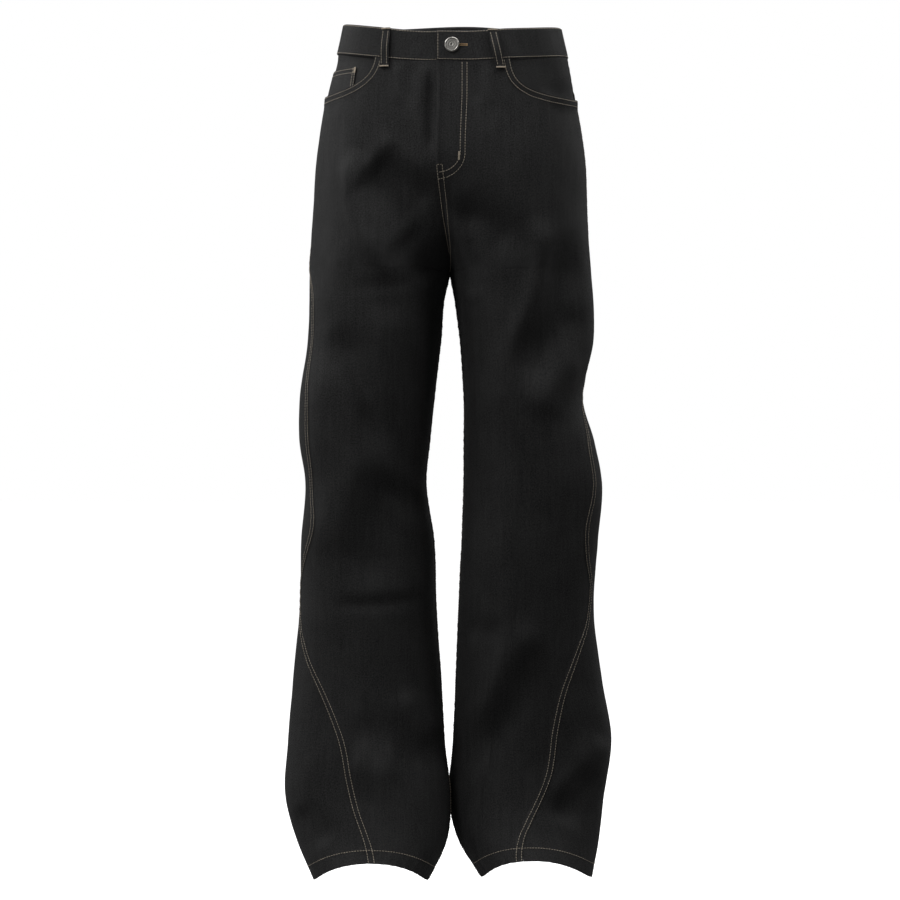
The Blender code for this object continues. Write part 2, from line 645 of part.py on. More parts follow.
def lap_grid(grid, other):
    """The left half's grid with one more column, just past the centre front on the right half."""
    reach = -OVERLAP / np.linalg.norm(other["points"][:, 1] - other["points"][:, 0], axis=-1)
    points = other["points"][:, 0] + (other["points"][:, 1] - other["points"][:, 0]) * reach[:, None]
    slant = other["normals"][:, 1] - other["normals"][:, 0]
    normals = unit(other["normals"][:, 0] + slant * reach[:, None])
    return {
        "side": LEFT,
        "points": np.concatenate([points[:, None], grid["points"]], axis=1),
        "normals": np.concatenate([normals[:, None], grid["normals"]], axis=1),
    }


def make_shield(grids, collection):
    """The layer behind the closed fly, from the right half's first column to the left half's third."""
    left, right = grids[LEFT], grids[RIGHT]
    joined = {"side": LEFT}
    for key in ("points", "normals"):
        joined[key] = np.concatenate([right[key][:, 1:2], left[key][:, :SHIELD_COLUMNS + 1]], axis=1)
    cells = block(0, FLY_ROW + 1, 0, SHIELD_COLUMNS + 1)
    lift = -CLOTH - LAYER_GAP
    return cloth_solid("fly_shield", joined, cells, lift, CLOTH, collection)


def make_front_pockets(side, grid, collection):
    """The facing behind each mouth, and the coin pocket on the right one."""
    depth = -CLOTH - LAYER_GAP
    flipped = {MOUTH_CORNER_CELL}
    name = "pocket_facing_" + side_name(side)
    cells = block(0, FACING_BOTTOM_ROW, MOUTH_COLUMN - 1, FRONT_COLUMNS)
    if side == RIGHT:
        coin_cells = block(COIN_TOP_ROW, FACING_BOTTOM_ROW - 1, COIN_COLUMN, FRONT_COLUMNS)
        cloth_solid("coin_pocket", grid, coin_cells, depth, CLOTH, collection)
        depth -= CLOTH + LAYER_GAP
    cloth_solid(name, grid, cells, depth, CLOTH, collection, flipped=flipped)


def make_back(side, grid, collection):
    """The yoke, the back panel below it and the patch pocket on that."""
    name = side_name(side)
    yoke = block(0, YOKE_ROW, FRONT_COLUMNS, COLUMNS)
    panel = block(YOKE_ROW, LAST_ROW, FRONT_COLUMNS, COLUMNS)
    pocket = block(POCKET_TOP_ROW, POCKET_BOTTOM_ROW, POCKET_FIRST_COLUMN, POCKET_LAST_COLUMN)
    cloth_solid("yoke_" + name, grid, yoke, 0.0, CLOTH, collection)
    cloth_solid("back_" + name, grid, panel, 0.0, hem_thickness(), collection)
    lift = CLOTH + LAYER_GAP
    cloth_solid("back_pocket_" + name, grid, pocket, lift, CLOTH, collection)


def band_lift(side, distance):
    """The left end of the band rises over the right one, which drops behind it."""
    span = BAND_LIFT_END - OVERLAP
    if side == LEFT:
        return LEFT_BAND_LIFT * np.clip((BAND_LIFT_END - distance) / span, 0.0, 1.0)
    behind = np.clip((distance - BAND_LIFT_START) / (OVERLAP - BAND_LIFT_START), 0.0, 1.0)
    below = np.clip((distance - OVERLAP) / span, 0.0, 1.0)
    return -RIGHT_BAND_DROP * behind - LEFT_BAND_LIFT * below


def make_band(side, grid, collection):
    """One half of the waistband, with its overlap and the opening for the button's neck."""
    if side == LEFT:
        ends = [OVERLAP, BUTTON_PLACE - SLOT_HALF_LENGTH, BUTTON_PLACE + SLOT_HALF_LENGTH]
        half_height = SLOT_HALF_HEIGHT
        skipped = 2
    else:
        ends = [UNDERLAP, BUTTON_PLACE + HOLE_HALF, BUTTON_PLACE - HOLE_HALF, 0.0]
        half_height = HOLE_HALF
        skipped = 1
    middle = 0.5 * BAND_HEIGHT
    steps = np.array([BAND_HEIGHT, middle + half_height, middle - half_height, 0.0])
    points = []
    normals = []
    lifts = []
    for distance in ends:
        where = LEFT if distance >= 0.0 else RIGHT
        share = abs(distance) / front_length(where, WAIST_SEAM_FRONT)
        base = seam_height(where, share)
        spots = [waist_place(distance, base + step) for step in steps]
        points.append([spot[0] for spot in spots])
        normals.append([spot[1] for spot in spots])
        lifts.append(band_lift(side, distance))
    seam = grid["points"][0]
    lengths = np.concatenate([[0.0], np.cumsum(np.linalg.norm(np.diff(seam, axis=0), axis=1))])
    for column in range(skipped, COLUMNS + 1):
        levels = seam[column, 2] + steps
        spots = worn_form(side, np.full(len(steps), grid["angle"][0, column]), levels)
        points.append(spots[0])
        normals.append(spots[1])
        lifts.append(band_lift(side, side * lengths[column]))
    band = {
        "side": side,
        "points": np.array(points).transpose(1, 0, 2),
        "normals": np.array(normals).transpose(1, 0, 2),
    }
    cells = set(block(0, len(steps) - 1, 0, len(points) - 1)) - {HOLE_CELL}
    lift = BAND_PROUD + np.array(lifts)[None, :]
    name = "waistband_" + side_name(side)
    return cloth_solid(name, band, sorted(cells), lift, BAND_CLOTH, collection)


def make_loop(row, collection):
    """A belt loop: a strip tacked at both ends and bowed out over the waistband."""
    loop = dict(zip(LOOP_COLUMNS, row))
    side = loop["side"]
    from_front = loop["from"] == "front"
    seam_level = seam_height(side)
    length = front_length(side, seam_level) if from_front else back_length(side, seam_level)
    points = []
    normals = []
    lifts = []
    for step in range(LOOP_STEPS + 1):
        down = step / LOOP_STEPS
        distance = loop["top"] + down * (loop["bottom"] - loop["top"])
        share = distance / length if from_front else 1.0 - distance / length
        seam = seam_height(side, share) if from_front else seam_height(side, back_share=share)
        level = seam + BAND_HEIGHT - LOOP_TOP - down * (BAND_HEIGHT - LOOP_TOP + LOOP_BELOW_SEAM)
        shares = np.array([distance - 0.5 * LOOP_WIDTH, distance, distance + 0.5 * LOOP_WIDTH]) / length
        line_points = []
        line_normals = []
        for part in shares:
            half = side if part >= 0.0 else -side
            heights = np.array([level])
            seam_angle = outseam_angle(half, heights)
            ends = (0.0 * seam_angle, seam_angle) if from_front else (0.0 * seam_angle + 360.0, seam_angle)
            angle = angle_at_share(half, np.array([abs(part)]), heights, *ends)
            place, normal = worn_form(half, angle, heights)
            line_points.append(place[0])
            line_normals.append(normal[0])
        points.append(line_points)
        normals.append(line_normals)
        on_band = ramp(level, seam - LOOP_WIDTH, seam)
        seat = LOOP_SEAT + BAND_PROUD * on_band + LOOP_FOOT_EASE * (1.0 - on_band)
        lifts.append(seat + LOOP_BOW * math.sin(math.pi * down) ** 2 + LOOP_CLOTH)
    grid = {"side": side if from_front else -side, "points": np.array(points), "normals": np.array(normals)}
    lift = np.array(lifts)[:, None]
    cells = block(0, LOOP_STEPS, 0, 2)
    return cloth_solid(loop["name"], grid, cells, lift, LOOP_CLOTH, collection)


def make_button(collection):
    """A turned tack button, from its back cap through both bands to its ringed face."""
    height = WAIST_SEAM_FRONT + 0.5 * BAND_HEIGHT
    place, normal = waist_place(BUTTON_PLACE, height)
    band_face = BAND_PROUD + band_lift(LEFT, BUTTON_PLACE)
    band_back = BAND_PROUD + band_lift(RIGHT, BUTTON_PLACE) - BAND_CLOTH
    base = band_face + BUTTON_CLEARANCE
    top = base + BUTTON_THICKNESS
    back = band_back - BUTTON_CLEARANCE
    profile = [
        (0.0, top - 0.0003),
        (0.30 * BUTTON_RADIUS, top - 0.0004),
        (0.34 * BUTTON_RADIUS, top - 0.0009),
        (0.42 * BUTTON_RADIUS, top - 0.0009),
        (0.47 * BUTTON_RADIUS, top - 0.0004),
        (0.70 * BUTTON_RADIUS, top - 0.0006),
        (0.76 * BUTTON_RADIUS, top),
        (0.90 * BUTTON_RADIUS, top - 0.0004),
        (BUTTON_RADIUS, top - 0.0016),
        (0.97 * BUTTON_RADIUS, base + 0.0004),
        (0.88 * BUTTON_RADIUS, base),
        (BUTTON_NECK + 0.0012, base),
        (BUTTON_NECK, base - 0.0006),
        (BUTTON_NECK, back),
        (BUTTON_BACK_RADIUS, back),
        (BUTTON_BACK_RADIUS, back - 0.6 * BUTTON_BACK_THICKNESS),
        (0.7 * BUTTON_BACK_RADIUS, back - BUTTON_BACK_THICKNESS),
        (0.0, back - BUTTON_BACK_THICKNESS),
    ]
    mesh = bpy.data.meshes.new("button")
    edges = [(k, k + 1) for k in range(len(profile) - 1)]
    mesh.from_pydata([(radius, 0.0, level) for radius, level in profile], edges, [])
    mesh.materials.append(make_material("button_metal", METAL, METAL_ROUGHNESS, 1.0))
    item = bpy.data.objects.new("button", mesh)
    collection.objects.link(item)
    turn = item.modifiers.new("turned", "SCREW")
    turn.steps = BUTTON_SIDES
    turn.render_steps = BUTTON_SIDES
    turn.use_merge_vertices = True
    turn.merge_threshold = 0.00001
    turn.use_smooth_shade = True
    facing = Vector(normal).to_track_quat("Z", "Y").to_matrix().to_4x4()
    item.matrix_world = Matrix.Translation(Vector(place)) @ facing
    return item


def build():
    clear_scene()
    collection = make_collection(COLLECTION)
    grids = {side: half_grid(side) for side in (RIGHT, LEFT)}
    for side in (RIGHT, LEFT):
        make_front(side, grids[side], grids[RIGHT], collection)
        make_back(side, grids[side], collection)
        make_front_pockets(side, grids[side], collection)
        make_band(side, grids[side], collection)
    make_shield(grids, collection)
    for row in LOOPS:
        make_loop(row, collection)
    make_button(collection)


build()
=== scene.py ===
# Looks of the flare jeans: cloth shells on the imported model's form, their sewing, button and light.
import math

import bmesh
import bpy
import numpy as np
from mathutils import Matrix, Vector, noise
from mathutils.bvhtree import BVHTree


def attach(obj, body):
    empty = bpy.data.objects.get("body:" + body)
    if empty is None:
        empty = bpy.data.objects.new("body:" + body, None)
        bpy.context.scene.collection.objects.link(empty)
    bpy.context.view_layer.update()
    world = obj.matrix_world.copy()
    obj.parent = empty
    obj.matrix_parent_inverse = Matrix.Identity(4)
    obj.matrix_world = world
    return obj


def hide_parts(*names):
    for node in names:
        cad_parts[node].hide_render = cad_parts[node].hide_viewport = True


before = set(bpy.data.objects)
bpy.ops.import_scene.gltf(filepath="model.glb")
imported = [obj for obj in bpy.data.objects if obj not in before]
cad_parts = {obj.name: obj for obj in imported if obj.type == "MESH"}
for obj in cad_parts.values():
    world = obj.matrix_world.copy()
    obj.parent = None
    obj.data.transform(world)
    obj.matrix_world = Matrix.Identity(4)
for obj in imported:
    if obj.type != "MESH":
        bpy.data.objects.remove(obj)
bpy.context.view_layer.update()  # metres, +Z up, the front faces -Y, the wearer's right leg is at -X
right, left = -1, 1
print("frame loaded:", len(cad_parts), "nodes")

# The worn form, the same as the solids'. Heights are from the middle of the waist opening.
body = {
    "bandHeight": 0.038,
    "seamFront": -0.033,
    "seamBack": -0.006,
    "seamSides": {right: (-0.014, 2.0), left: (-0.0205, 3.0)},  # height at the outseam, power of the dip
    "flyBottom": -0.172,
    "frontCurveTop": -0.130,
    "backCurveTop": -0.060,
    "crotch": -0.288,
    "hem": -1.046,
    "hemArchTop": -0.930,
    "hemFrontArch": 0.029,
    "hemBackArch": 0.010,
    "hemFold": 0.017,
    "hemEase": 0.003,  # from the lowest row of the leg to the hem's fold
    "squareness": 2.2,
    "flattest": 0.999,
    "middleGap": 0.0001,
}
sectionColumns = (
    "height", "rightOuter", "rightInner", "leftOuter", "leftInner",
    "front", "back", "centre", "turn", "step",
)
sectionTable = (
    (0.024, 0.133, 0.0, 0.138, 0.0, 0.100, 0.100, 0.26, -7.2, 0.0),
    (-0.021, 0.143, 0.0, 0.148, 0.0, 0.104, 0.104, 0.28, -7.0, 0.0),
    (-0.072, 0.156, 0.0, 0.157, 0.0, 0.112, 0.120, 0.30, -6.3, 0.0),
    (-0.147, 0.168, 0.0, 0.168, 0.0, 0.119, 0.137, 0.37, -6.7, 0.0),
    (-0.222, 0.173, 0.0, 0.172, 0.0, 0.120, 0.138, 0.44, -4.0, 0.0),
    (-0.288, 0.176, 0.0, 0.177, 0.0, 0.118, 0.122, 0.50, 0.0, 0.0),
    (-0.323, 0.176, 0.0075, 0.180, 0.0063, 0.116, 0.112, 0.50, 0.0, 0.0),
    (-0.373, 0.178, 0.0113, 0.180, 0.0126, 0.113, 0.100, 0.50, 0.0, 0.0),
    (-0.448, 0.188, 0.0200, 0.166, 0.0176, 0.109, 0.082, 0.50, 0.0, 0.0),
    (-0.499, 0.188, 0.0250, 0.180, 0.0176, 0.104, 0.070, 0.50, 0.0, 0.0),
    (-0.549, 0.181, 0.0300, 0.190, 0.0176, 0.100, 0.064, 0.50, 0.0, 0.0),
    (-0.624, 0.186, 0.0200, 0.185, 0.0151, 0.094, 0.064, 0.50, 0.0, 0.0),
    (-0.700, 0.188, 0.0176, 0.180, 0.0113, 0.086, 0.072, 0.50, 0.0, 0.0),
    (-0.800, 0.197, 0.0113, 0.191, 0.0075, 0.078, 0.078, 0.50, 0.0, 0.005),
    (-0.875, 0.203, 0.0070, 0.2035, 0.0045, 0.076, 0.078, 0.50, 0.0, 0.012),
    (-0.951, 0.205, -0.0006, 0.193, -0.0006, 0.080, 0.076, 0.50, 0.0, 0.015),
    (-1.001, 0.190, 0.0050, 0.187, 0.0113, 0.094, 0.084, 0.50, 0.0, 0.015),
    (-1.046, 0.170, 0.0276, 0.178, 0.0389, 0.116, 0.092, 0.50, 0.0, 0.015),
)
# Where the outseam's stitching runs round each leg: 90 is the front, 180 the side.
outseamColumns = ("height", "right", "left")
outseamTable = (
    (0.03, 180.0, 189.0),
    (-0.20, 180.0, 189.0),
    (-0.27, 176.0, 189.0),
    (-0.31, 158.0, 188.0),
    (-0.36, 154.0, 187.0),
    (-0.41, 153.0, 185.0),
    (-0.45, 149.0, 166.0),
    (-0.50, 148.0, 152.0),
    (-0.56, 150.0, 148.0),
    (-0.61, 144.0, 142.0),
    (-0.645, 157.0, 147.0),
    (-0.68, 171.0, 158.0),
    (-0.72, 165.0, 152.0),
    (-0.76, 147.0, 133.0),
    (-0.81, 123.0, 114.0),
    (-0.86, 107.0, 103.0),
    (-0.92, 99.0, 100.0),
    (-0.98, 94.0, 90.0),
    (-1.046, 89.0, 80.0),
)
fellTurn = 3.0  # the front panel's felled edge lies this many degrees behind the stitching

# Folds, each along a curve seen from the front or the back. A negative rise is a trough.
foldColumns = ("face", "startX", "startZ", "bendX", "bendZ", "endX", "endZ", "width", "rise")
foldTable = (
    # right thigh and hip
    ("front", -0.112, -0.136, -0.116, -0.212, -0.074, -0.310, 0.010, 0.007),
    ("front", -0.098, -0.158, -0.068, -0.186, -0.012, -0.252, 0.022, -0.010),
    ("front", -0.092, -0.134, -0.060, -0.148, -0.018, -0.188, 0.010, 0.003),
    ("front", -0.060, -0.240, -0.034, -0.270, -0.020, -0.310, 0.018, -0.007),
    ("front", -0.0725, -0.165, -0.046, -0.190, -0.0184, -0.210, 0.009, -0.002),
    ("front", -0.134, -0.312, -0.080, -0.309, -0.025, -0.306, 0.006, -0.0015),
    # right knee and calf
    ("front", -0.147, -0.360, -0.110, -0.425, -0.088, -0.520, 0.014, -0.008),
    ("front", -0.080, -0.327, -0.080, -0.400, -0.088, -0.499, 0.022, 0.004),
    ("front", -0.096, -0.505, -0.129, -0.572, -0.147, -0.646, 0.017, 0.004),
    ("front", -0.061, -0.536, -0.086, -0.600, -0.086, -0.695, 0.030, -0.009),
    ("front", -0.155, -0.701, -0.090, -0.700, -0.022, -0.694, 0.006, -0.0025),
    # right flare
    ("front", -0.061, -0.806, -0.040, -0.840, -0.015, -0.873, 0.012, 0.003),
    ("front", -0.136, -0.841, -0.068, -0.873, -0.004, -0.911, 0.018, -0.004),
    ("front", -0.129, -0.892, -0.095, -0.903, -0.061, -0.910, 0.020, 0.003),
    ("front", -0.192, -0.952, -0.170, -0.974, -0.147, -0.996, 0.012, -0.004),
    # left thigh
    ("front", 0.104, -0.222, 0.108, -0.300, 0.058, -0.425, 0.009, 0.006),
    ("front", 0.135, -0.235, 0.135, -0.340, 0.070, -0.418, 0.018, -0.010),
    ("front", 0.173, -0.330, 0.135, -0.382, 0.090, -0.435, 0.014, -0.005),
    ("front", 0.170, -0.388, 0.129, -0.431, 0.110, -0.474, 0.016, 0.004),
    ("front", 0.002, -0.236, 0.037, -0.232, 0.090, -0.283, 0.015, -0.009),
    ("front", 0.012, -0.295, 0.020, -0.317, 0.043, -0.324, 0.006, 0.003),
    # left calf and flare
    ("front", 0.018, -0.727, 0.042, -0.735, 0.066, -0.738, 0.010, -0.003),
    ("front", 0.110, -0.720, 0.068, -0.781, 0.015, -0.892, 0.014, 0.005),
    ("front", 0.104, -0.744, 0.074, -0.836, 0.007, -0.910, 0.016, -0.005),
    ("front", 0.195, -0.867, 0.166, -0.904, 0.122, -0.959, 0.014, 0.005),
    ("front", 0.184, -0.904, 0.154, -0.941, 0.133, -0.978, 0.013, -0.005),
    # ripples below the waistband, and the valley beside the fly
    ("front", -0.064, -0.034, -0.064, -0.062, -0.062, -0.094, 0.005, 0.0013),
    ("front", -0.049, -0.034, -0.049, -0.062, -0.048, -0.090, 0.005, -0.0013),
    ("front", -0.034, -0.034, -0.034, -0.062, -0.035, -0.098, 0.005, 0.0012),
    ("front", 0.032, -0.034, 0.033, -0.062, 0.034, -0.092, 0.005, -0.0014),
    ("front", 0.046, -0.034, 0.047, -0.062, 0.048, -0.096, 0.005, 0.0012),
    ("front", -0.0235, -0.040, -0.0245, -0.098, -0.0240, -0.158, 0.0045, -0.0045),
    # seat, knees and calves from behind
    ("back", -0.155, -0.255, -0.100, -0.300, -0.030, -0.335, 0.015, -0.005),
    ("back", -0.160, -0.305, -0.110, -0.345, -0.045, -0.375, 0.016, -0.004),
    ("back", -0.130, -0.228, -0.080, -0.262, -0.020, -0.300, 0.009, 0.003),
    ("back", 0.150, -0.262, 0.095, -0.297, 0.035, -0.342, 0.015, -0.005),
    ("back", 0.158, -0.318, 0.115, -0.352, 0.050, -0.395, 0.017, -0.004),
    ("back", 0.128, -0.232, 0.078, -0.268, 0.022, -0.306, 0.009, 0.003),
    ("back", -0.165, -0.545, -0.105, -0.565, -0.045, -0.540, 0.014, -0.006),
    ("back", -0.165, -0.605, -0.110, -0.590, -0.040, -0.618, 0.015, -0.005),
    ("back", -0.150, -0.505, -0.100, -0.512, -0.050, -0.498, 0.008, -0.002),
    ("back", 0.160, -0.530, 0.100, -0.558, 0.035, -0.548, 0.014, -0.006),
    ("back", 0.165, -0.598, 0.110, -0.592, 0.030, -0.612, 0.016, -0.005),
    ("back", 0.145, -0.640, 0.100, -0.650, 0.045, -0.642, 0.008, -0.002),
    ("back", -0.050, -0.700, -0.095, -0.765, -0.155, -0.850, 0.018, -0.005),
    ("back", 0.045, -0.715, 0.090, -0.795, 0.150, -0.880, 0.018, -0.005),
    ("back", -0.175, -0.930, -0.100, -0.962, -0.035, -0.945, 0.016, -0.005),
    ("back", 0.040, -0.922, 0.100, -0.952, 0.165, -0.936, 0.016, -0.005),
)
foldShape = {
    "steps": 14,
    "strength": 1.3,
    "taper": 0.28,
    "facingFrom": 0.15,
    "facingFull": 0.55,
    "middleFade": 0.030,
    "reach": 3.6,  # widths past which a fold does nothing
}
unevenCloth = ((17.0, 0.00055), (48.0, 0.00022))  # noise cells a metre, height


def smoothRamp(value, start, end):
    share = np.clip((np.asarray(value, float) - start) / (end - start), 0.0, 1.0)
    return share * share * (3.0 - 2.0 * share)


def unit(vectors):
    return vectors / np.linalg.norm(vectors, axis=-1, keepdims=True)


def runAlong(points, axis=0):
    # distance run along a line or a grid of points, from its first one
    steps = np.linalg.norm(np.diff(points, axis=axis), axis=-1)
    start = np.zeros_like(np.take(steps, [0], axis=axis))
    return np.concatenate([start, np.cumsum(steps, axis=axis)], axis=axis)


def readTable(table, columns, name, heights):
    # a column of a table of heights, read along a smooth curve through its rows
    rows = np.array(sorted(table))
    level = rows[:, 0]
    value = rows[:, columns.index(name)]
    slope = np.gradient(value, level)
    heights = np.clip(heights, level[0], level[-1])
    row = np.clip(np.searchsorted(level, heights) - 1, 0, len(level) - 2)
    span = level[row + 1] - level[row]
    t = (heights - level[row]) / span
    start = (1.0 + 2.0 * t) * (1.0 - t) ** 2 * value[row] + t * (1.0 - t) ** 2 * span * slope[row]
    end = t * t * (3.0 - 2.0 * t) * value[row + 1] + t * t * (t - 1.0) * span * slope[row + 1]
    return start + end


def sideWord(side):
    return "left" if side == left else "right"


def centreSeamShare(heights, top):
    # share of the half depth at the centre seam, a quarter ellipse from its top to the crotch
    drop = np.clip((top - heights) / (top - body["crotch"]), 0.0, 1.0)
    return np.minimum(np.sqrt(1.0 - drop ** 2), body["flattest"])


def sectionAngle(angle, heights):
    power = 2.0 / body["squareness"]
    frontShare = centreSeamShare(heights, body["frontCurveTop"])
    backShare = centreSeamShare(heights, body["backCurveTop"])
    front = np.degrees(np.arcsin(frontShare ** (1.0 / power)))
    back = np.degrees(np.arcsin(backShare ** (1.0 / power)))
    fromFront = front + angle * (90.0 - front) / 90.0
    toBack = 270.0 + (angle - 270.0) * (90.0 - back) / 90.0
    return np.where(angle < 90.0, fromFront, np.where(angle > 270.0, toBack, angle))


def sectionPoint(side, angle, heights):
    power = 2.0 / body["squareness"]
    word = sideWord(side)

    def column(title):
        return readTable(sectionTable, sectionColumns, title, heights)

    outer = column(word + "Outer")
    inner = np.where(heights < body["crotch"], column(word + "Inner"), 0.0)
    front = column("front")
    back = column("back")
    middle = inner + column("centre") * (outer - inner)
    cosine = np.cos(np.radians(angle))
    sine = np.sin(np.radians(angle))
    share = centreSeamShare(heights, np.where(sine > 0.0, body["frontCurveTop"], body["backCurveTop"]))
    innerReach = (middle - inner) / (1.0 - share ** (2.0 / power)) ** (power / 2.0)
    reach = np.where(cosine > 0.0, -innerReach, outer - middle)
    x = side * (middle + reach * np.abs(cosine) ** power + body["middleGap"])
    y = 0.5 * (back - front) - 0.5 * (front + back) * np.sign(sine) * np.abs(sine) ** power
    turn = np.radians(column("turn"))
    turnedX = x * np.cos(turn) - y * np.sin(turn)
    turnedY = x * np.sin(turn) + y * np.cos(turn) + side * column("step")
    return np.stack([turnedX, turnedY, heights + 0.0 * turnedX], axis=-1)


def sectionNormal(side, angle, heights):
    across = sectionPoint(side, angle + 0.5, heights) - sectionPoint(side, angle - 0.5, heights)
    up = sectionPoint(side, angle, heights + 0.001) - sectionPoint(side, angle, heights - 0.001)
    return unit(side * np.cross(across, up))


def foldLift(points, normals):
    # how far the folds move each point out of the plain form
    lift = np.zeros(points.shape[:-1])
    flat = points[..., (0, 2)]
    t = np.linspace(0.0, 1.0, foldShape["steps"] + 1)[:, None]
    for row in foldTable:
        fold = dict(zip(foldColumns, row))
        start, bend, end = (np.array([fold[k + "X"], fold[k + "Z"]]) for k in ("start", "bend", "end"))
        pull = 2.0 * bend - 0.5 * (start + end)
        path = (1.0 - t) ** 2 * start + 2.0 * t * (1.0 - t) * pull + t * t * end
        reach = foldShape["reach"] * fold["width"]
        inside = (flat > path.min(axis=0) - reach) & (flat < path.max(axis=0) + reach)
        near = inside.all(axis=-1)
        spots = flat[near]
        nearest = np.full(len(spots), np.inf)
        along = np.zeros(len(spots))
        for number in range(len(path) - 1):
            step = path[number + 1] - path[number]
            part = np.clip((spots - path[number]) @ step / (step @ step), 0.0, 1.0)
            away = np.linalg.norm(spots - path[number] - part[:, None] * step, axis=-1)
            closer = away < nearest
            along[closer] = (number + part[closer]) / (len(path) - 1)
            nearest = np.minimum(nearest, away)
        fade = foldShape["taper"]
        taper = smoothRamp(along, 0.0, fade) * smoothRamp(1.0 - along, 0.0, fade)
        facing = -normals[near][:, 1] if fold["face"] == "front" else normals[near][:, 1]
        shown = smoothRamp(facing, foldShape["facingFrom"], foldShape["facingFull"])
        height = foldShape["strength"] * fold["rise"] * np.exp(-0.5 * (nearest / fold["width"]) ** 2)
        lift[near] += height * taper * shown
    return lift


def unevenLift(points):
    # slight unevenness of worn cloth
    lift = np.zeros(points.shape[:-1])
    flat = points.reshape(-1, 3)
    for cells, height in unevenCloth:
        values = [noise.noise(Vector(spot) * cells) for spot in flat]
        lift += height * np.array(values).reshape(lift.shape)
    return lift


def clothPoint(side, angle, heights):
    # points of the outer cloth face, and the directions that stand square to the plain form
    turned = sectionAngle(angle, heights)
    points = sectionPoint(side, turned, heights)
    normals = sectionNormal(side, turned, heights)
    moved = normals * (foldLift(points, normals) + unevenLift(points))[..., None]
    nearMiddle = smoothRamp(np.abs(points[..., 0]), 0.0, foldShape["middleFade"])
    moved[..., 0] *= np.where(heights > body["crotch"], nearMiddle, 1.0)
    return points + moved, normals


def walkRound(side, heights, first, last):
    steps = np.linspace(0.0, 1.0, 61)
    angles = first[..., None] + (last - first)[..., None] * steps
    levels = heights[..., None] + 0.0 * angles
    points = sectionPoint(side, sectionAngle(angles, levels), levels)
    return angles, runAlong(points, points.ndim - 2)


def angleAtShare(side, share, heights, first, last):
    share, heights, first, last = np.broadcast_arrays(share, heights, first, last)
    angles, lengths = walkRound(side, heights, first, last)
    found = np.empty(share.shape)
    for spot in np.ndindex(share.shape):
        found[spot] = np.interp(share[spot] * lengths[spot][-1], lengths[spot], angles[spot])
    return found


def outseamAngle(side, heights):
    return readTable(outseamTable, outseamColumns, sideWord(side), heights) + fellTurn


def frontLength(side, heights):
    heights = np.atleast_1d(np.asarray(heights, float))
    return walkRound(side, heights, 0.0 * heights, outseamAngle(side, heights))[1][..., -1]


def backLength(side, heights):
    heights = np.atleast_1d(np.asarray(heights, float))
    return walkRound(side, heights, outseamAngle(side, heights), 0.0 * heights + 360.0)[1][..., -1]


# Rows and columns of each half. Column 0 is the centre front and inseam, the last the centre back.
finer = 5  # fine rows and columns for each one of the solids
mesh = {
    "front": 12 * finer,
    "back": 16 * finer,
    "all": 28 * finer,
    "mouthRow": 3 * finer,
    "mouthColumn": 6 * finer,
    "yokeRow": 3 * finer,
    "flyRow": 7 * finer,
    "crotchRow": 14 * finer,
    "seatRow": 14 * finer - 4,  # where the centre back seam ends
    "legRows": 28 * finer,
    "foldRow": 42 * finer + 1,
    "lastRow": 43 * finer + 1,
    "relax": 6 * finer,
    "welt": (0.0012, 0.0082, 0.0094),  # distances of the first columns from a felled edge
    "pastSeam": 0.0005,  # how far each half reaches past the centre back
}
mouths = {
    right: {"start": 0.0774, "depth": 0.0555, "squareness": 2.5, "gape": 0.0010},
    left: {"start": 0.0825, "depth": 0.0514, "squareness": 4.4, "gape": 0.0024},
}
mouthShape = {"rowShares": (0.0, 0.24, 0.60, 1.0), "corner": 45.0}
backPocket = {
    "topRow": 4 * finer,
    "bottomRow": 10 * finer,
    "first": 16 * finer,
    "last": 24 * finer,
    "topInset": 0.048,
    "topWidth": 0.150,
    "bottomInset": 0.058,
    "bottomWidth": 0.124,
    "point": 0.022,
    "yokeDepth": 0.078,
    "rim": 0.0005,
}


def frontFall(side, share):
    return 1.0 - np.sin(0.5 * math.pi * share) ** body["seamSides"][side][1]


def seamHeight(side, share=1.0, backShare=0.0):
    height = body["seamSides"][side][0]
    dip = (body["seamFront"] - height) * frontFall(side, share)
    return height + dip + (body["seamBack"] - height) * np.sin(0.5 * math.pi * backShare) ** 2


def evenHeights(angle, first, last, steps):
    levels = first + (last - first) * np.sin(0.5 * math.pi * np.linspace(0.0, 1.0, 200))
    points = sectionPoint(left, sectionAngle(np.full(levels.shape, angle), levels), levels)
    lengths = runAlong(points)
    return np.interp(np.linspace(0.0, lengths[-1], steps + 1), lengths, levels)


def mouthShares():
    return np.interp(np.arange(mesh["mouthRow"] + 1) / finer, range(4), mouthShape["rowShares"])


def rowHeights(side):
    flyRows = np.linspace(body["seamFront"], body["flyBottom"], mesh["flyRow"] + 1)
    lowRows = evenHeights(0.0, body["flyBottom"], body["crotch"], mesh["crotchRow"] - mesh["flyRow"])
    yokeEnd = body["seamBack"] - backPocket["yokeDepth"]
    yokeRows = np.linspace(body["seamBack"], yokeEnd, mesh["yokeRow"] + 1)
    seatRows = evenHeights(360.0, yokeEnd, body["crotch"], mesh["crotchRow"] - mesh["yokeRow"])
    mouth = seamHeight(side) - mouths[side]["depth"] * mouthShares()
    hipRows = np.linspace(mouth[-1], body["crotch"], mesh["crotchRow"] - mesh["mouthRow"] + 1)
    front = np.concatenate([flyRows, lowRows[1:]])
    return front, np.concatenate([mouth, hipRows[1:]]), np.concatenate([yokeRows, seatRows[1:]])


def mouthPlaces(side, turn):
    mouth = mouths[side]
    power = 2.0 / mouth["squareness"]
    full = frontLength(side, seamHeight(side))[0]
    place = full - (full - mouth["start"]) * np.cos(np.radians(turn)) ** power
    return place / full, mouth["depth"] * np.sin(np.radians(turn)) ** power


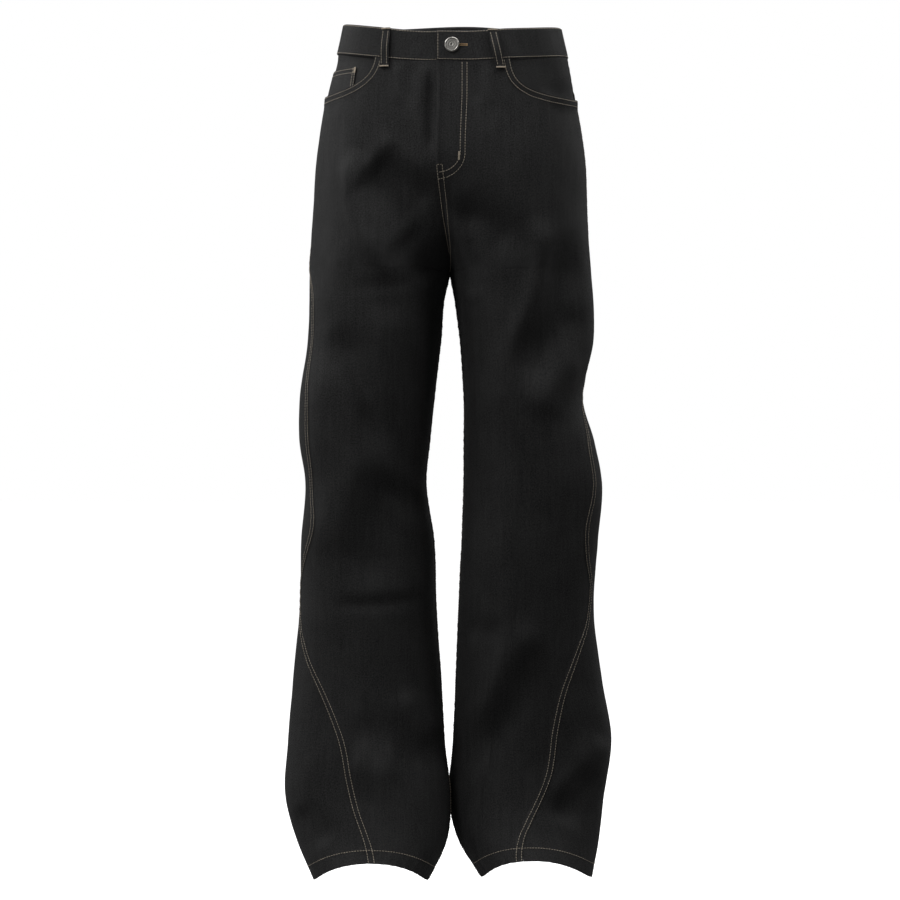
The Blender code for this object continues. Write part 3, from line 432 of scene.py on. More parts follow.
def bendOnMouth(side, share, level):
    # draws the front's columns and rows on to the pocket mouth, and eases back below it
    edge, row0, corner = mesh["mouthColumn"], mesh["mouthRow"], mouthShape["corner"]
    before = np.arange(edge + 1)
    after = np.arange(edge, mesh["front"] + 1)
    rowShares = mouthShares()
    steepShare, steepDepth = mouthPlaces(side, corner * rowShares)
    flatTurn = corner + (90.0 - corner) * (after - edge) / (mesh["front"] - edge)
    flatShare, flatDepth = mouthPlaces(side, flatTurn)
    topShare = np.linspace(steepShare[0], 1.0, len(after))
    newShare = share.copy()
    newLevel = level.copy()
    for row in range(row0 + 1):
        part = rowShares[row]
        across = (1.0 - part) * topShare + part * flatShare
        across[0] = steepShare[row]
        depth = part * flatDepth
        depth[0] = steepDepth[row]
        newShare[row, after] = across
        newLevel[row, after] = seamHeight(side, across) - depth
        newShare[row, before] = steepShare[row] * before / edge
        drop = newLevel[row, edge] - level[row, edge]
        newLevel[row, before] = level[row, before] + drop * before / edge
    for row in range(row0 + 1, row0 + mesh["relax"]):
        leftOver = 1.0 - smoothRamp(row, row0, row0 + mesh["relax"])
        newShare[row] += leftOver * (newShare[row0] - share[row0])
        newLevel[row] += leftOver * (newLevel[row0] - level[row0])
    return newShare, newLevel


def bendOnPocket(side, share, level):
    # draws the back's columns and rows on to the edges of the patch pocket
    first = backPocket["first"] - mesh["front"]
    last = backPocket["last"] - mesh["front"]
    top, bottom = backPocket["topRow"], backPocket["bottomRow"]
    columns = np.arange(mesh["back"] + 1)
    tent = np.clip(1.0 - np.abs(2.0 * (columns - first) / (last - first) - 1.0), 0.0, 1.0)
    newShare = share.copy()
    newLevel = level.copy()
    for row in range(1, bottom + mesh["relax"]):
        down = np.clip((row - top) / (bottom - top), 0.0, 1.0)
        inset = backPocket["topInset"] + down * (backPocket["bottomInset"] - backPocket["topInset"])
        width = backPocket["topWidth"] + down * (backPocket["bottomWidth"] - backPocket["topWidth"])
        length = backLength(side, level[row, first])[0]
        pins = [0.0, 1.0 - (inset + width) / length, 1.0 - inset / length, 1.0]
        pinned = np.interp(columns, [0, first, last, mesh["back"]], pins)
        above = min(1.0, row / mesh["yokeRow"])
        below = 1.0 - smoothRamp(row, bottom, bottom + mesh["relax"])
        newShare[row] += above * below * (pinned - share[row])
        newLevel[row] -= backPocket["point"] * tent * down * below
    return newShare, newLevel


def pinWelt(share, lengths, atStart):
    # sets the first columns beside a seam at the welt's own distances from its edge
    count = len(mesh["welt"])
    if atStart:
        return 1.0 - pinWelt(1.0 - share[:, ::-1], lengths, False)[:, ::-1]
    pinned = share.copy()
    edges = 1.0 - np.array(mesh["welt"])[None, :] / lengths[:, None]
    pinned[:, :-count - 1] *= (edges[:, -1] / share[:, -count - 1])[:, None]
    for number in range(count):
        pinned[:, -2 - number] = edges[:, number]
    return pinned


def halfGrid(side):
    frontRows, outseamRows, backRows = rowHeights(side)
    rows = mesh["lastRow"] + 1
    frontShare = np.tile(np.linspace(0.0, 1.0, mesh["front"] + 1), (rows, 1))
    backShare = np.tile(np.linspace(0.0, 1.0, mesh["back"] + 1), (rows, 1))
    foldTop = body["hem"] + body["hemFold"]
    legRows = np.linspace(body["crotch"], foldTop + body["hemEase"], mesh["legRows"] + 1)[1:]
    low = np.concatenate([legRows, np.linspace(foldTop, body["hem"], rows - mesh["foldRow"])])
    frontLevel = np.empty(frontShare.shape)
    backLevel = np.empty(backShare.shape)
    crotchRow = mesh["crotchRow"]
    for row in range(crotchRow + 1):
        fall = frontFall(side, frontShare[row])
        frontLevel[row] = outseamRows[row] + (frontRows[row] - outseamRows[row]) * fall
        bowed = np.sin(0.5 * math.pi * backShare[row]) ** 2
        slant = backShare[row] if row >= mesh["yokeRow"] else bowed
        backLevel[row] = outseamRows[row] + (backRows[row] - outseamRows[row]) * slant
    frontLevel[crotchRow + 1:] = low[:, None]
    backLevel[crotchRow + 1:] = low[:, None]
    frontShare, frontLevel = bendOnMouth(side, frontShare, frontLevel)
    backShare, backLevel = bendOnPocket(side, backShare, backLevel)
    frontLengths = frontLength(side, frontLevel[:, -1])
    frontShare = pinWelt(pinWelt(frontShare, frontLengths, False), frontLengths, True)
    backShare = pinWelt(backShare, backLength(side, backLevel[:, -1]), False)
    frontEnd = outseamAngle(side, frontLevel)
    frontAngle = angleAtShare(side, frontShare, frontLevel, 0.0 * frontEnd, frontEnd)
    backStart = outseamAngle(side, backLevel)
    backAngle = angleAtShare(side, backShare, backLevel, backStart, 0.0 * backStart + 360.0)
    angle = np.concatenate([frontAngle, backAngle[:, 1:]], axis=1)
    level = np.concatenate([frontLevel, backLevel[:, 1:]], axis=1)
    sine = np.sin(np.radians(angle))
    arch = np.where(sine > 0.0, body["hemFrontArch"], body["hemBackArch"]) * sine ** 2
    level = level + arch * smoothRamp(-level, -body["hemArchTop"], -body["hem"])
    points, normals = clothPoint(side, angle, level)
    grid = {"side": side, "angle": angle, "points": points, "normals": normals}
    pucker(grid)
    return grid


# Felled and hemmed cloth draws up a little between its stitches.
puckers = {
    "wave": 0.0115,
    "height": 0.00030,
    "reach": 0.012,
    "aboveCrotch": 0.6,
    "hemHeight": 0.00045,
    "hemReach": 0.020,
    "drift": (61.0, 23.0, 37.0),  # slow waves a metre that keep the puckers uneven
}


def pucker(grid):
    points, normals = grid["points"], grid["normals"]
    down, across = runAlong(points), runAlong(points, 1)
    fromSeam = np.minimum(np.abs(across - across[:, mesh["front"], None]), across)
    fromSeam = np.minimum(fromSeam, across[:, -1:] - across)
    quick, slow, hemSlow = puckers["drift"]
    drift = np.sin(down * quick) + 0.6 * np.sin(down * slow + 1.0)
    ripple = np.sin(2.0 * math.pi * down / puckers["wave"] + 1.4 * drift)
    lift = puckers["height"] * ripple * np.exp(-(fromSeam / puckers["reach"]) ** 2)
    lift[:mesh["crotchRow"]] *= puckers["aboveCrotch"]
    toHem = down[-1:] - down
    slant = 2.0 * math.pi * (across + 0.5 * toHem) / puckers["wave"]
    rope = np.sin(slant + 1.2 * np.sin(across * hemSlow))
    lift += puckers["hemHeight"] * rope * np.exp(-(toHem / puckers["hemReach"]) ** 2)
    grid["points"] = points + normals * lift[..., None]


def meetBehind(points):
    # the last column reaches past the centre back, so that no light comes through the seam
    edge = points[:, -1] - points[:, -2]
    points[:, -1] += mesh["pastSeam"] * edge / np.linalg.norm(edge, axis=-1, keepdims=True)


grids = {side: halfGrid(side) for side in (right, left)}
for side in grids:
    meetBehind(grids[side]["points"][:mesh["seatRow"]])
print("form laid out:", grids[left]["points"].shape)


# Finishes
def newMaterial(name):
    material = bpy.data.materials.new(name)
    material.use_nodes = True
    tree = material.node_tree
    return material, tree, tree.nodes["Principled BSDF"]


def addMath(tree, operation, first, second=None, third=None):
    node = tree.nodes.new("ShaderNodeMath")
    node.operation = operation
    for socket, value in zip(node.inputs, (first, second, third)):
        if value is None:
            continue
        if isinstance(value, (int, float)):
            socket.default_value = value
        else:
            tree.links.new(value, socket)
    return node.outputs[0]


def addNoise(tree, vector, scale, detail=2.0, roughness=0.5):
    stretch = tree.nodes.new("ShaderNodeMapping")
    stretch.inputs["Scale"].default_value = scale
    tree.links.new(vector, stretch.inputs["Vector"])
    texture = tree.nodes.new("ShaderNodeTexNoise")
    texture.inputs["Scale"].default_value = 1.0
    texture.inputs["Detail"].default_value = detail
    texture.inputs["Roughness"].default_value = roughness
    tree.links.new(stretch.outputs["Vector"], texture.inputs["Vector"])
    return texture.outputs["Fac"]


def addRange(tree, value, fromLow, fromHigh, low, high):
    node = tree.nodes.new("ShaderNodeMapRange")
    tree.links.new(value, node.inputs["Value"])
    for title, number in (("From Min", fromLow), ("From Max", fromHigh), ("To Min", low), ("To Max", high)):
        node.inputs[title].default_value = number
    return node.outputs["Result"]


def addBlend(tree, factor, first, second):
    node = tree.nodes.new("ShaderNodeMix")
    node.data_type = "RGBA"
    tree.links.new(factor, node.inputs["Factor"])
    for title, colour in (("A", first), ("B", second)):
        if isinstance(colour, tuple):
            node.inputs[title].default_value = colour
        else:
            tree.links.new(colour, node.inputs[title])
    return node.outputs["Result"]


def addBump(tree, shader, height, strength, distance):
    node = tree.nodes.new("ShaderNodeBump")
    node.inputs["Strength"].default_value = strength
    node.inputs["Distance"].default_value = distance
    tree.links.new(height, node.inputs["Height"])
    tree.links.new(node.outputs["Normal"], shader.inputs["Normal"])


weave = {  # noise cells a metre across and along the warp, detail, roughness
    "slub": ((430.0, 26.0, 1.0), 3.0, 0.6),
    "band": ((150.0, 9.0, 1.0), 2.0, 0.5),
    "grain": ((640.0, 520.0, 1.0), 2.0, 0.6),
    "fleck": ((900.0, 620.0, 1.0), 1.0, 0.5),
    "mottle": ((26.0, 20.0, 1.0), 3.0, 0.55),
    "wobble": ((90.0, 90.0, 1.0), 2.0, 0.5),
}
ribs = {"across": 1180.0, "along": 640.0, "yarn": 1750.0}  # twill ribs and warp yarns a metre


twillSockets = (
    ("Cloth Place", "INPUT", "Vector"),
    ("Streaks", "INPUT", "Float"),
    ("Grain", "INPUT", "Float"),
    ("Flecks", "INPUT", "Float"),
    ("Mottle", "INPUT", "Float"),
    ("Dark", "INPUT", "Color"),
    ("Pale", "INPUT", "Color"),
    ("Colour", "OUTPUT", "Color"),
    ("Roughness", "OUTPUT", "Float"),
    ("Height", "OUTPUT", "Float"),
)


def makeTwillGroup():
    # warp streaks, grain, flecks and twill ribs, in metres along the cloth's own grain
    tree = bpy.data.node_groups.new("rawTwill", "ShaderNodeTree")
    for title, way, kind in twillSockets:
        tree.interface.new_socket(title, in_out=way, socket_type="NodeSocket" + kind)
    entry = tree.nodes.new("NodeGroupInput")
    leave = tree.nodes.new("NodeGroupOutput")
    place = entry.outputs["Cloth Place"]

    slub, band, grain, fleck, mottle, wobble = (addNoise(tree, place, *noises) for noises in weave.values())

    def centred(value, strength):
        return addMath(tree, "MULTIPLY", addMath(tree, "SUBTRACT", value, 0.5), strength)

    streaks = addMath(tree, "ADD", centred(slub, 1.6), centred(band, 1.0))
    tone = addMath(tree, "MULTIPLY", streaks, entry.outputs["Streaks"])
    tone = addMath(tree, "MULTIPLY_ADD", centred(grain, 2.0), entry.outputs["Grain"], tone)
    tone = addMath(tree, "MULTIPLY_ADD", centred(mottle, 1.6), entry.outputs["Mottle"], tone)
    specks = addRange(tree, fleck, 0.60, 0.74, 0.0, 1.0)
    tone = addMath(tree, "MULTIPLY_ADD", specks, entry.outputs["Flecks"], tone)
    tone = addRange(tree, tone, -0.6, 0.9, 0.0, 1.0)
    shade = addBlend(tree, tone, entry.outputs["Dark"], entry.outputs["Pale"])
    tree.links.new(shade, leave.inputs["Colour"])
    tree.links.new(addRange(tree, tone, 0.0, 1.0, 0.78, 0.62), leave.inputs["Roughness"])

    parts = tree.nodes.new("ShaderNodeSeparateXYZ")
    tree.links.new(place, parts.inputs["Vector"])
    phase = addMath(tree, "MULTIPLY", parts.outputs["X"], 2.0 * math.pi * ribs["across"])
    slope = 2.0 * math.pi * ribs["along"]
    phase = addMath(tree, "MULTIPLY_ADD", parts.outputs["Y"], slope, phase)
    rib = addMath(tree, "SINE", addMath(tree, "ADD", phase, centred(wobble, 1.4)))
    yarnPhase = addMath(tree, "MULTIPLY", parts.outputs["X"], 2.0 * math.pi * ribs["yarn"])
    yarn = addMath(tree, "SINE", yarnPhase)
    height = addMath(tree, "MULTIPLY_ADD", rib, 0.5, addMath(tree, "MULTIPLY", yarn, 0.2))
    height = addMath(tree, "MULTIPLY_ADD", grain, 0.7, height)
    height = addMath(tree, "MULTIPLY_ADD", slub, 1.3, height)
    tree.links.new(height, leave.inputs["Height"])
    return tree


twillGroup = makeTwillGroup()
denimLooks = {
    "blackDenim": {
        "dark": (0.0085, 0.0085, 0.0090, 1.0),
        "pale": (0.056, 0.0555, 0.055, 1.0),
        "streaks": 0.40, "grain": 1.25, "flecks": 0.45, "mottle": 0.50,
        "sheen": 0.06, "bump": 0.60, "specular": 0.34,
    },
    "denimInside": {
        "dark": (0.020, 0.020, 0.021, 1.0),
        "pale": (0.115, 0.112, 0.106, 1.0),
        "streaks": 0.45, "grain": 0.75, "flecks": 0.55, "mottle": 0.25,
        "sheen": 0.05, "bump": 0.50, "specular": 0.25,
    },
}
bumpDepth = 0.00022


def makeDenim(name):
    look = denimLooks[name]
    material, tree, shader = newMaterial(name)
    place = tree.nodes.new("ShaderNodeUVMap")
    place.uv_map = "clothPlace"
    twill = tree.nodes.new("ShaderNodeGroup")
    twill.node_tree = twillGroup
    tree.links.new(place.outputs["UV"], twill.inputs["Cloth Place"])
    twill.inputs["Dark"].default_value = look["dark"]
    twill.inputs["Pale"].default_value = look["pale"]
    for title in ("Streaks", "Grain", "Flecks", "Mottle"):
        twill.inputs[title].default_value = look[title.lower()]
    tree.links.new(twill.outputs["Colour"], shader.inputs["Base Color"])
    tree.links.new(twill.outputs["Roughness"], shader.inputs["Roughness"])
    addBump(tree, shader, twill.outputs["Height"], look["bump"], bumpDepth)
    shader.inputs["Sheen Weight"].default_value = look["sheen"]
    shader.inputs["Sheen Roughness"].default_value = 0.45
    shader.inputs["Specular IOR Level"].default_value = look["specular"]
    return material


threadLooks = {
    "tanThread": ((0.54, 0.44, 0.32, 1.0), (0.92, 0.82, 0.67, 1.0)),
    "goldThread": ((0.72, 0.42, 0.17, 1.0), (0.95, 0.68, 0.38, 1.0)),
}


def makeThread(name):
    dark, pale = threadLooks[name]
    material, tree, shader = newMaterial(name)
    where = tree.nodes.new("ShaderNodeTexCoord").outputs["Object"]
    fibres = addNoise(tree, where, (2600.0, 2600.0, 2600.0), 2.0, 0.6)
    patches = addNoise(tree, where, (240.0, 240.0, 240.0), 2.0, 0.5)
    mixed = addMath(tree, "MULTIPLY_ADD", fibres, 0.5, addMath(tree, "MULTIPLY", patches, 0.5))
    shade = addBlend(tree, addRange(tree, mixed, 0.30, 0.70, 0.0, 1.0), dark, pale)
    tree.links.new(shade, shader.inputs["Base Color"])
    addBump(tree, shader, fibres, 0.4, 0.0001)
    shader.inputs["Roughness"].default_value = 0.6
    shader.inputs["Sheen Weight"].default_value = 0.2
    return material


nickelLook = {"bright": (0.62, 0.60, 0.56, 1.0), "grooves": (0.16, 0.15, 0.14, 1.0)}


def makeNickel():
    # aged nickel: polished high spots, dark in the grooves
    material, tree, shader = newMaterial("agedNickel")
    where = tree.nodes.new("ShaderNodeTexCoord").outputs["Object"]
    tarnish = addNoise(tree, where, (420.0, 420.0, 420.0), 4.0, 0.6)
    scratches = addNoise(tree, where, (3200.0, 900.0, 1400.0), 2.0, 0.6)
    groove = tree.nodes.new("ShaderNodeAttribute")
    groove.attribute_name = "groove"
    worn = addMath(tree, "MULTIPLY_ADD", tarnish, 0.35, groove.outputs["Fac"])
    grime = addRange(tree, worn, 0.10, 0.95, 0.0, 1.0)
    shade = addBlend(tree, grime, nickelLook["bright"], nickelLook["grooves"])
    tree.links.new(shade, shader.inputs["Base Color"])
    tree.links.new(addRange(tree, worn, 0.0, 1.0, 0.26, 0.55), shader.inputs["Roughness"])
    addBump(tree, shader, scratches, 0.25, 0.00006)
    shader.inputs["Metallic"].default_value = 1.0
    return material


blackDenim = makeDenim("blackDenim")
denimInside = makeDenim("denimInside")
tanThread = makeThread("tanThread")
goldThread = makeThread("goldThread")
agedNickel = makeNickel()
print("finishes made")

# Cloth shells
cloth = {"wall": 0.0012, "band": 0.0026, "gap": 0.0003, "welt": 0.0007, "edge": 0.00035, "edgeAngle": 50.0}
trees = {}  # the outer face of each shell, which its stitches lie on


def addObject(name, data):
    thing = bpy.data.objects.new(name, data)
    bpy.context.scene.collection.objects.link(thing)
    return thing


def addPiece(name, bm, materials):
    data = bpy.data.meshes.new(name)
    bm.to_mesh(data)
    bm.free()
    for material in materials:
        data.materials.append(material)
    data.shade_smooth()
    piece = addObject(name, data)
    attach(piece, "root")
    return piece


grainLine = {"place": 0.078, "facing": 0.35}  # distance from the middle at which a leg's warp hangs plumb


def clothPlaces(points, normals, plumb):
    # metres across from the middle column or the plumb line, and down from the top row
    across = runAlong(points, 1)
    start = across[:, points.shape[1] // 2].copy()
    if plumb:
        for row in range(len(points)):
            faces = plumb * normals[row, :, 1] > grainLine["facing"]
            away = np.abs(points[row, faces, 0])
            order = np.argsort(away)
            start[row] = np.interp(grainLine["place"], away[order], across[row, faces][order])
    return across - start[:, None], -runAlong(points)


def clothShell(name, grid, rows, columns, lift, wall=None, doubled=None, cut=None, grain=(0.0, 0.0),
               plumb=0):
    # a wall of cloth on a block of the grid; lift is out from the form, doubled is where it is thicker,
    # and plumb is -1 or 1 where the warp hangs plumb on the front or the back
    (top, low), (near, far) = rows, columns
    points = grid["points"] + grid["normals"] * np.broadcast_to(lift, grid["points"].shape[:2])[..., None]
    points = points[top:low + 1, near:far + 1]
    across, down = clothPlaces(points, grid["normals"][top:low + 1, near:far + 1], plumb)
    height, width = low - top, far - near
    bm = bmesh.new()
    bmesh.ops.create_grid(bm, x_segments=width, y_segments=height, size=1.0)

    def spotOf(co):
        return (1.0 - co.y) * 0.5 * height, (co.x + 1.0) * 0.5 * width

    if cut:
        gone = []
        for face in bm.faces:
            row, column = spotOf(face.calc_center_median())
            if cut(top + int(row), near + int(column)):
                gone.append(face)
        bmesh.ops.delete(bm, geom=gone, context="FACES")
    places = bm.loops.layers.uv.new("clothPlace")
    weights = bm.verts.layers.deform.verify()
    shown = {}
    for vertex in bm.verts:
        row, column = (round(value) for value in spotOf(vertex.co))
        shown[vertex] = (across[row, column] + grain[0], down[row, column] + grain[1])
        if doubled is not None and doubled[top + row]:
            vertex[weights][0] = 1.0
        vertex.co = points[row, column]
    for face in bm.faces:
        for loop in face.loops:
            loop[places].uv = shown[loop.vert]
    if grid["side"] == right:
        bmesh.ops.reverse_faces(bm, faces=bm.faces)
    bm.normal_update()
    trees[name] = BVHTree.FromBMesh(bm)
    piece = addPiece(name, bm, (blackDenim, denimInside))
    wallMod = piece.modifiers.new("clothWall", "SOLIDIFY")
    wallMod.thickness = wall or cloth["wall"]
    wallMod.offset = -1.0
    wallMod.material_offset = 1
    if doubled is not None:
        piece.vertex_groups.new(name="doubled")
        wallMod.vertex_group = "doubled"
        wallMod.thickness_vertex_group = cloth["wall"] / cloth["band"]
        wallMod.thickness = cloth["band"]
    edgeMod = piece.modifiers.new("foldedEdge", "BEVEL")
    edgeMod.width = cloth["edge"]
    edgeMod.segments = 2
    edgeMod.limit_method = "ANGLE"
    edgeMod.angle_limit = math.radians(cloth["edgeAngle"])
    edgeMod.harden_normals = True
    return piece


def standFor(node):
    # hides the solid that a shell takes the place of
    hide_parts(node)


def rowsAndColumns(extra=0):
    return np.arange(mesh["lastRow"] + 1)[:, None], np.arange(-extra, mesh["all"] + 1)[None, :]


def weltLift(columnFromEdge):
    # height of a felled edge over its first columns
    heights = np.array([0.75, 1.0, 1.0, 0.0]) * cloth["welt"]
    return np.interp(columnFromEdge, range(4), heights, right=0.0)


fly = {
    "overlap": 0.004,
    "lift": 0.0015,
    "liftColumns": 2 * finer,
    "liftRows": 2 * finer,
    "bead": 0.0012,
    "lapColumns": 3,
    "nearColumns": 8,
    "fadeRows": (mesh["crotchRow"] - 18, mesh["crotchRow"] - 2),
    "endRow": mesh["crotchRow"] - 5,
}
mouthEdge = {
    "rowStep": 0.0045,
    "columnStep": 0.0027,
    "gapeReach": 0.020,
    "foldedIn": (0.0078, 0.0100),
    "height": 0.0006,
}


def lapGrid(grid, other, reach):
    # the left half's grid with more columns, lapped past the centre front on to the right half
    steps, near = fly["lapColumns"], fly["nearColumns"]
    run = runAlong(other["points"][:, :near], 1)
    shrink = 1.0 - smoothRamp(np.arange(mesh["lastRow"] + 1), *fly["fadeRows"])
    lapped = {"side": left}
    for key in ("points", "normals"):
        extra = np.empty((len(run), steps, 3))
        for row in range(len(run)):
            for step in range(steps):
                away = max(reach * (steps - step) / steps * shrink[row], 1e-5 * (steps - step))
                for axis in range(3):
                    extra[row, step, axis] = np.interp(away, run[row], other[key][row, :near, axis])
        lapped[key] = np.concatenate([extra, grid[key]], axis=1)
    lapped["normals"] = unit(lapped["normals"])
    return lapped, steps


def frontLifts(side, extra):
    # felled edges, the lifted fly and the gaping pocket mouth of a front panel
    rows, columns = rowsAndColumns(extra)
    inner = np.clip(columns, 0, None)
    fromOutseam = mesh["front"] - columns
    lift = weltLift(np.clip(fromOutseam, 0, None)) * (fromOutseam >= 0)
    below = mesh["flyRow"] if side == left else mesh["crotchRow"]
    lift = lift + weltLift(inner) * smoothRamp(rows, below - 2, below + 2)
    if side == left:
        across = np.clip(1.0 - inner / fly["liftColumns"], 0.0, 1.0)
        down = np.clip(1.0 - (rows - mesh["flyRow"]) / fly["liftRows"], 0.0, 1.0)
        lift = lift + (fly["lift"] * across + fly["bead"] * (columns <= 0) * (columns > -extra)) * down
    fromRow = mouthEdge["rowStep"] * (rows - mesh["mouthRow"])
    fromColumn = mouthEdge["columnStep"] * (mesh["mouthColumn"] - columns)
    fromMouth = np.clip(np.maximum(fromRow, fromColumn), 0.0, None)
    alongFlat = smoothRamp(columns, mesh["mouthColumn"] - 6, mesh["mouthColumn"] + 8)
    alongFlat = alongFlat * smoothRamp(fromOutseam, 0, 7) * (fromOutseam >= 0)
    gape = mouths[side]["gape"] * alongFlat
    lift = lift + gape * (1.0 - smoothRamp(fromMouth, 0.0, mouthEdge["gapeReach"]))
    edge = (1.0 - smoothRamp(fromMouth, *mouthEdge["foldedIn"])) * (fromOutseam >= 3)
    return lift + mouthEdge["height"] * edge * smoothRamp(columns, 12, 20)


def doubledHem():
    return np.arange(mesh["lastRow"] + 1) >= mesh["foldRow"]


def makeFronts():
    for side in (right, left):
        name = "front" + sideWord(side).title()
        grid, extra = grids[side], 0
        if side == left:
            grid, extra = lapGrid(grids[left], grids[right], fly["overlap"])
            grids["lap"] = grid

        def cut(row, column):
            if column < extra:
                return row >= fly["endRow"]
            return row < mesh["mouthRow"] and column - extra >= mesh["mouthColumn"]

        lift = frontLifts(side, extra)
        grid["lifted"] = grid["points"] + grid["normals"] * lift[..., None]
        span = (0, mesh["lastRow"]), (0, mesh["front"] + extra)
        piece = clothShell(name, grid, *span, lift, doubled=doubledHem(), cut=cut, grain=(0.3 * side, 0.0),
                           plumb=-1)
        standFor("front_" + sideWord(side))
        grids[side]["lifted"] = grid["lifted"][:, extra:]


def makeFlyShield():
    count = 3 * finer
    joined = {"side": left}
    for key in ("points", "normals"):
        under, over = grids[right][key][:, finer:0:-1], grids[left][key][:, :count + 1]
        joined[key] = np.concatenate([under, over], axis=1)
    lift = -cloth["wall"] - cloth["gap"]
    piece = clothShell("flyShield", joined, (0, 8 * finer), (0, finer + count), lift, grain=(0.7, 0.1))
    standFor("fly_shield")


coin = {
    "top": -0.0376,
    "bottom": -0.0930,
    "topPlace": 0.1166,
    "bottomPlace": 0.1248,
    "rows": 16,
    "columns": 24,
    "ease": 0.0002,
}
sag = {  # how a facing sags behind its mouth and rises to lie flush below the waistband
    "depth": {right: 0.0012, left: 0.0060},
    "row": 2.9 * finer,
    "spread": 0.9 * finer,
    "flush": 0.0014,
    "flushRows": {right: 4, left: 8},
    "fadeColumns": (16, 10),
}


def distanceAt(side, place, height):
    # distance round the front at which the form is a given way across from the middle
    heights = np.array([height])
    angles, lengths = walkRound(side, heights, np.zeros(1), outseamAngle(side, heights))
    across = np.abs(sectionPoint(side, sectionAngle(angles, height), height)[0, :, 0])
    return np.interp(place, across, lengths[0])


def coinGrid():
    heights = np.linspace(coin["top"], coin["bottom"], coin["rows"] + 1)
    near = np.linspace(distanceAt(right, coin["topPlace"], coin["top"]),
                       distanceAt(right, coin["bottomPlace"], coin["bottom"]), coin["rows"] + 1)
    far = frontLength(right, heights)
    across = near[:, None] + (far - near)[:, None] * np.linspace(0.0, 1.0, coin["columns"] + 1)
    points, normals = placesAcross(-across, heights[:, None])
    return {"side": right, "points": points, "normals": normals}


def makeFacings():
    for side in (right, left):
        grid = grids[side]
        word = sideWord(side)
        depth = -cloth["wall"] - cloth["gap"]
        if side == right:
            small = grids["coin"] = coinGrid()
            small["lifted"] = small["points"] + small["normals"] * (depth + coin["ease"])
            span = (0, coin["rows"]), (0, coin["columns"])
            piece = clothShell("coinPocket", small, *span, depth + coin["ease"], grain=(0.9, 0.3))
            standFor("coin_pocket")
            depth -= cloth["wall"] + cloth["gap"]
        rows, columns = rowsAndColumns()
        inMouth = smoothRamp(columns, mesh["mouthColumn"], mesh["mouthColumn"] + sag["fadeColumns"][0])
        inMouth = inMouth * smoothRamp(mesh["front"] - columns, 0, sag["fadeColumns"][1])
        hollow = sag["depth"][side] * np.exp(-((rows - sag["row"]) / sag["spread"]) ** 2) * inMouth
        flush = sag["flush"] * inMouth * (1.0 - smoothRamp(rows, 0, sag["flushRows"][side]))
        span = (0, 5 * finer), (5 * finer, mesh["front"])
        lift = depth + flush - hollow
        piece = clothShell("facing" + word.title(), grid, *span, lift, grain=(1.1 * side, 0.2))
        standFor("pocket_facing_" + word)


def backLifts(side):
    # the seat's felled edge on the left back, and the yoke's own below
    rows, columns = rowsAndColumns()
    if side == right:
        return 0.0 * rows * columns
    above = 1.0 - smoothRamp(rows, mesh["seatRow"], mesh["crotchRow"])
    return weltLift(mesh["all"] - columns) * above


def makeBacks():
    for side in (right, left):
        grid = grids[side]
        word = sideWord(side)
        shell = word.title()
        seat = backLifts(side)
        rows, columns = rowsAndColumns()
        onYoke = np.interp(rows, [mesh["yokeRow"] - 3, mesh["yokeRow"] - 2], [0.0, 1.0])
        yokeLift = seat + cloth["welt"] * onYoke
        rim = np.minimum(rows - backPocket["topRow"], backPocket["bottomRow"] - rows)
        aside = np.minimum(columns - backPocket["first"], backPocket["last"] - columns)
        folded = 1.0 - smoothRamp(np.minimum(rim, aside), 1, 3)
        pocketLift = cloth["wall"] + cloth["gap"] + backPocket["rim"] * folded
        for key, lift in (("yoke", yokeLift), ("back", seat), ("pocket", pocketLift)):
            grid[key + "Lifted"] = grid["points"] + grid["normals"] * lift[..., None]
        span = (0, mesh["yokeRow"]), (mesh["front"], mesh["all"])
        piece = clothShell("yoke" + shell, grid, *span, yokeLift, grain=(1.4 * side, 0.0), plumb=1)
        standFor("yoke_" + word)
        span = (mesh["yokeRow"], mesh["lastRow"]), (mesh["front"], mesh["all"])
        piece = clothShell("back" + shell, grid, *span, seat, doubled=doubledHem(), grain=(1.8 * side, 0.1),
                           plumb=1)
        standFor("back_" + word)
        span = (backPocket["topRow"], backPocket["bottomRow"]), (backPocket["first"], backPocket["last"])
        piece = clothShell("backPocket" + shell, grid, *span, pocketLift, grain=(2.3 * side, 0.5))
        standFor("back_pocket_" + word)


band = {
    "proud": 0.0005,
    "rowShares": (0.0, 0.018, 0.05, 0.11, 0.23, 0.36, 0.5, 0.64, 0.77, 0.89, 0.95, 0.985, 1.0),
    "rims": (-0.0021, -0.0009, -0.0002, 0, 0, 0, 0, 0, 0, 0, -0.0001, -0.0003, -0.0008),
    "underlap": 0.035,
    "endColumns": {right: 11, left: 3},
    "sewnFrom": {right: 9, left: 2},
    "sewnRows": (2, -3),
    "liftStart": -0.040,
    "liftEnd": 0.041,
    "leftLift": 0.0014,
    "rightDrop": 0.0018,
}


def bandLift(side, distance):
    # the left end of the band rises over the right one, which drops behind it
    span = band["liftEnd"] + fly["overlap"]
    if side == left:
        return band["leftLift"] * np.clip((band["liftEnd"] - distance) / span, 0.0, 1.0)
    behind = np.clip((distance - band["liftStart"]) / (-fly["overlap"] - band["liftStart"]), 0.0, 1.0)
    below = np.clip((distance + fly["overlap"]) / span, 0.0, 1.0)
    return -band["rightDrop"] * behind - band["leftLift"] * below


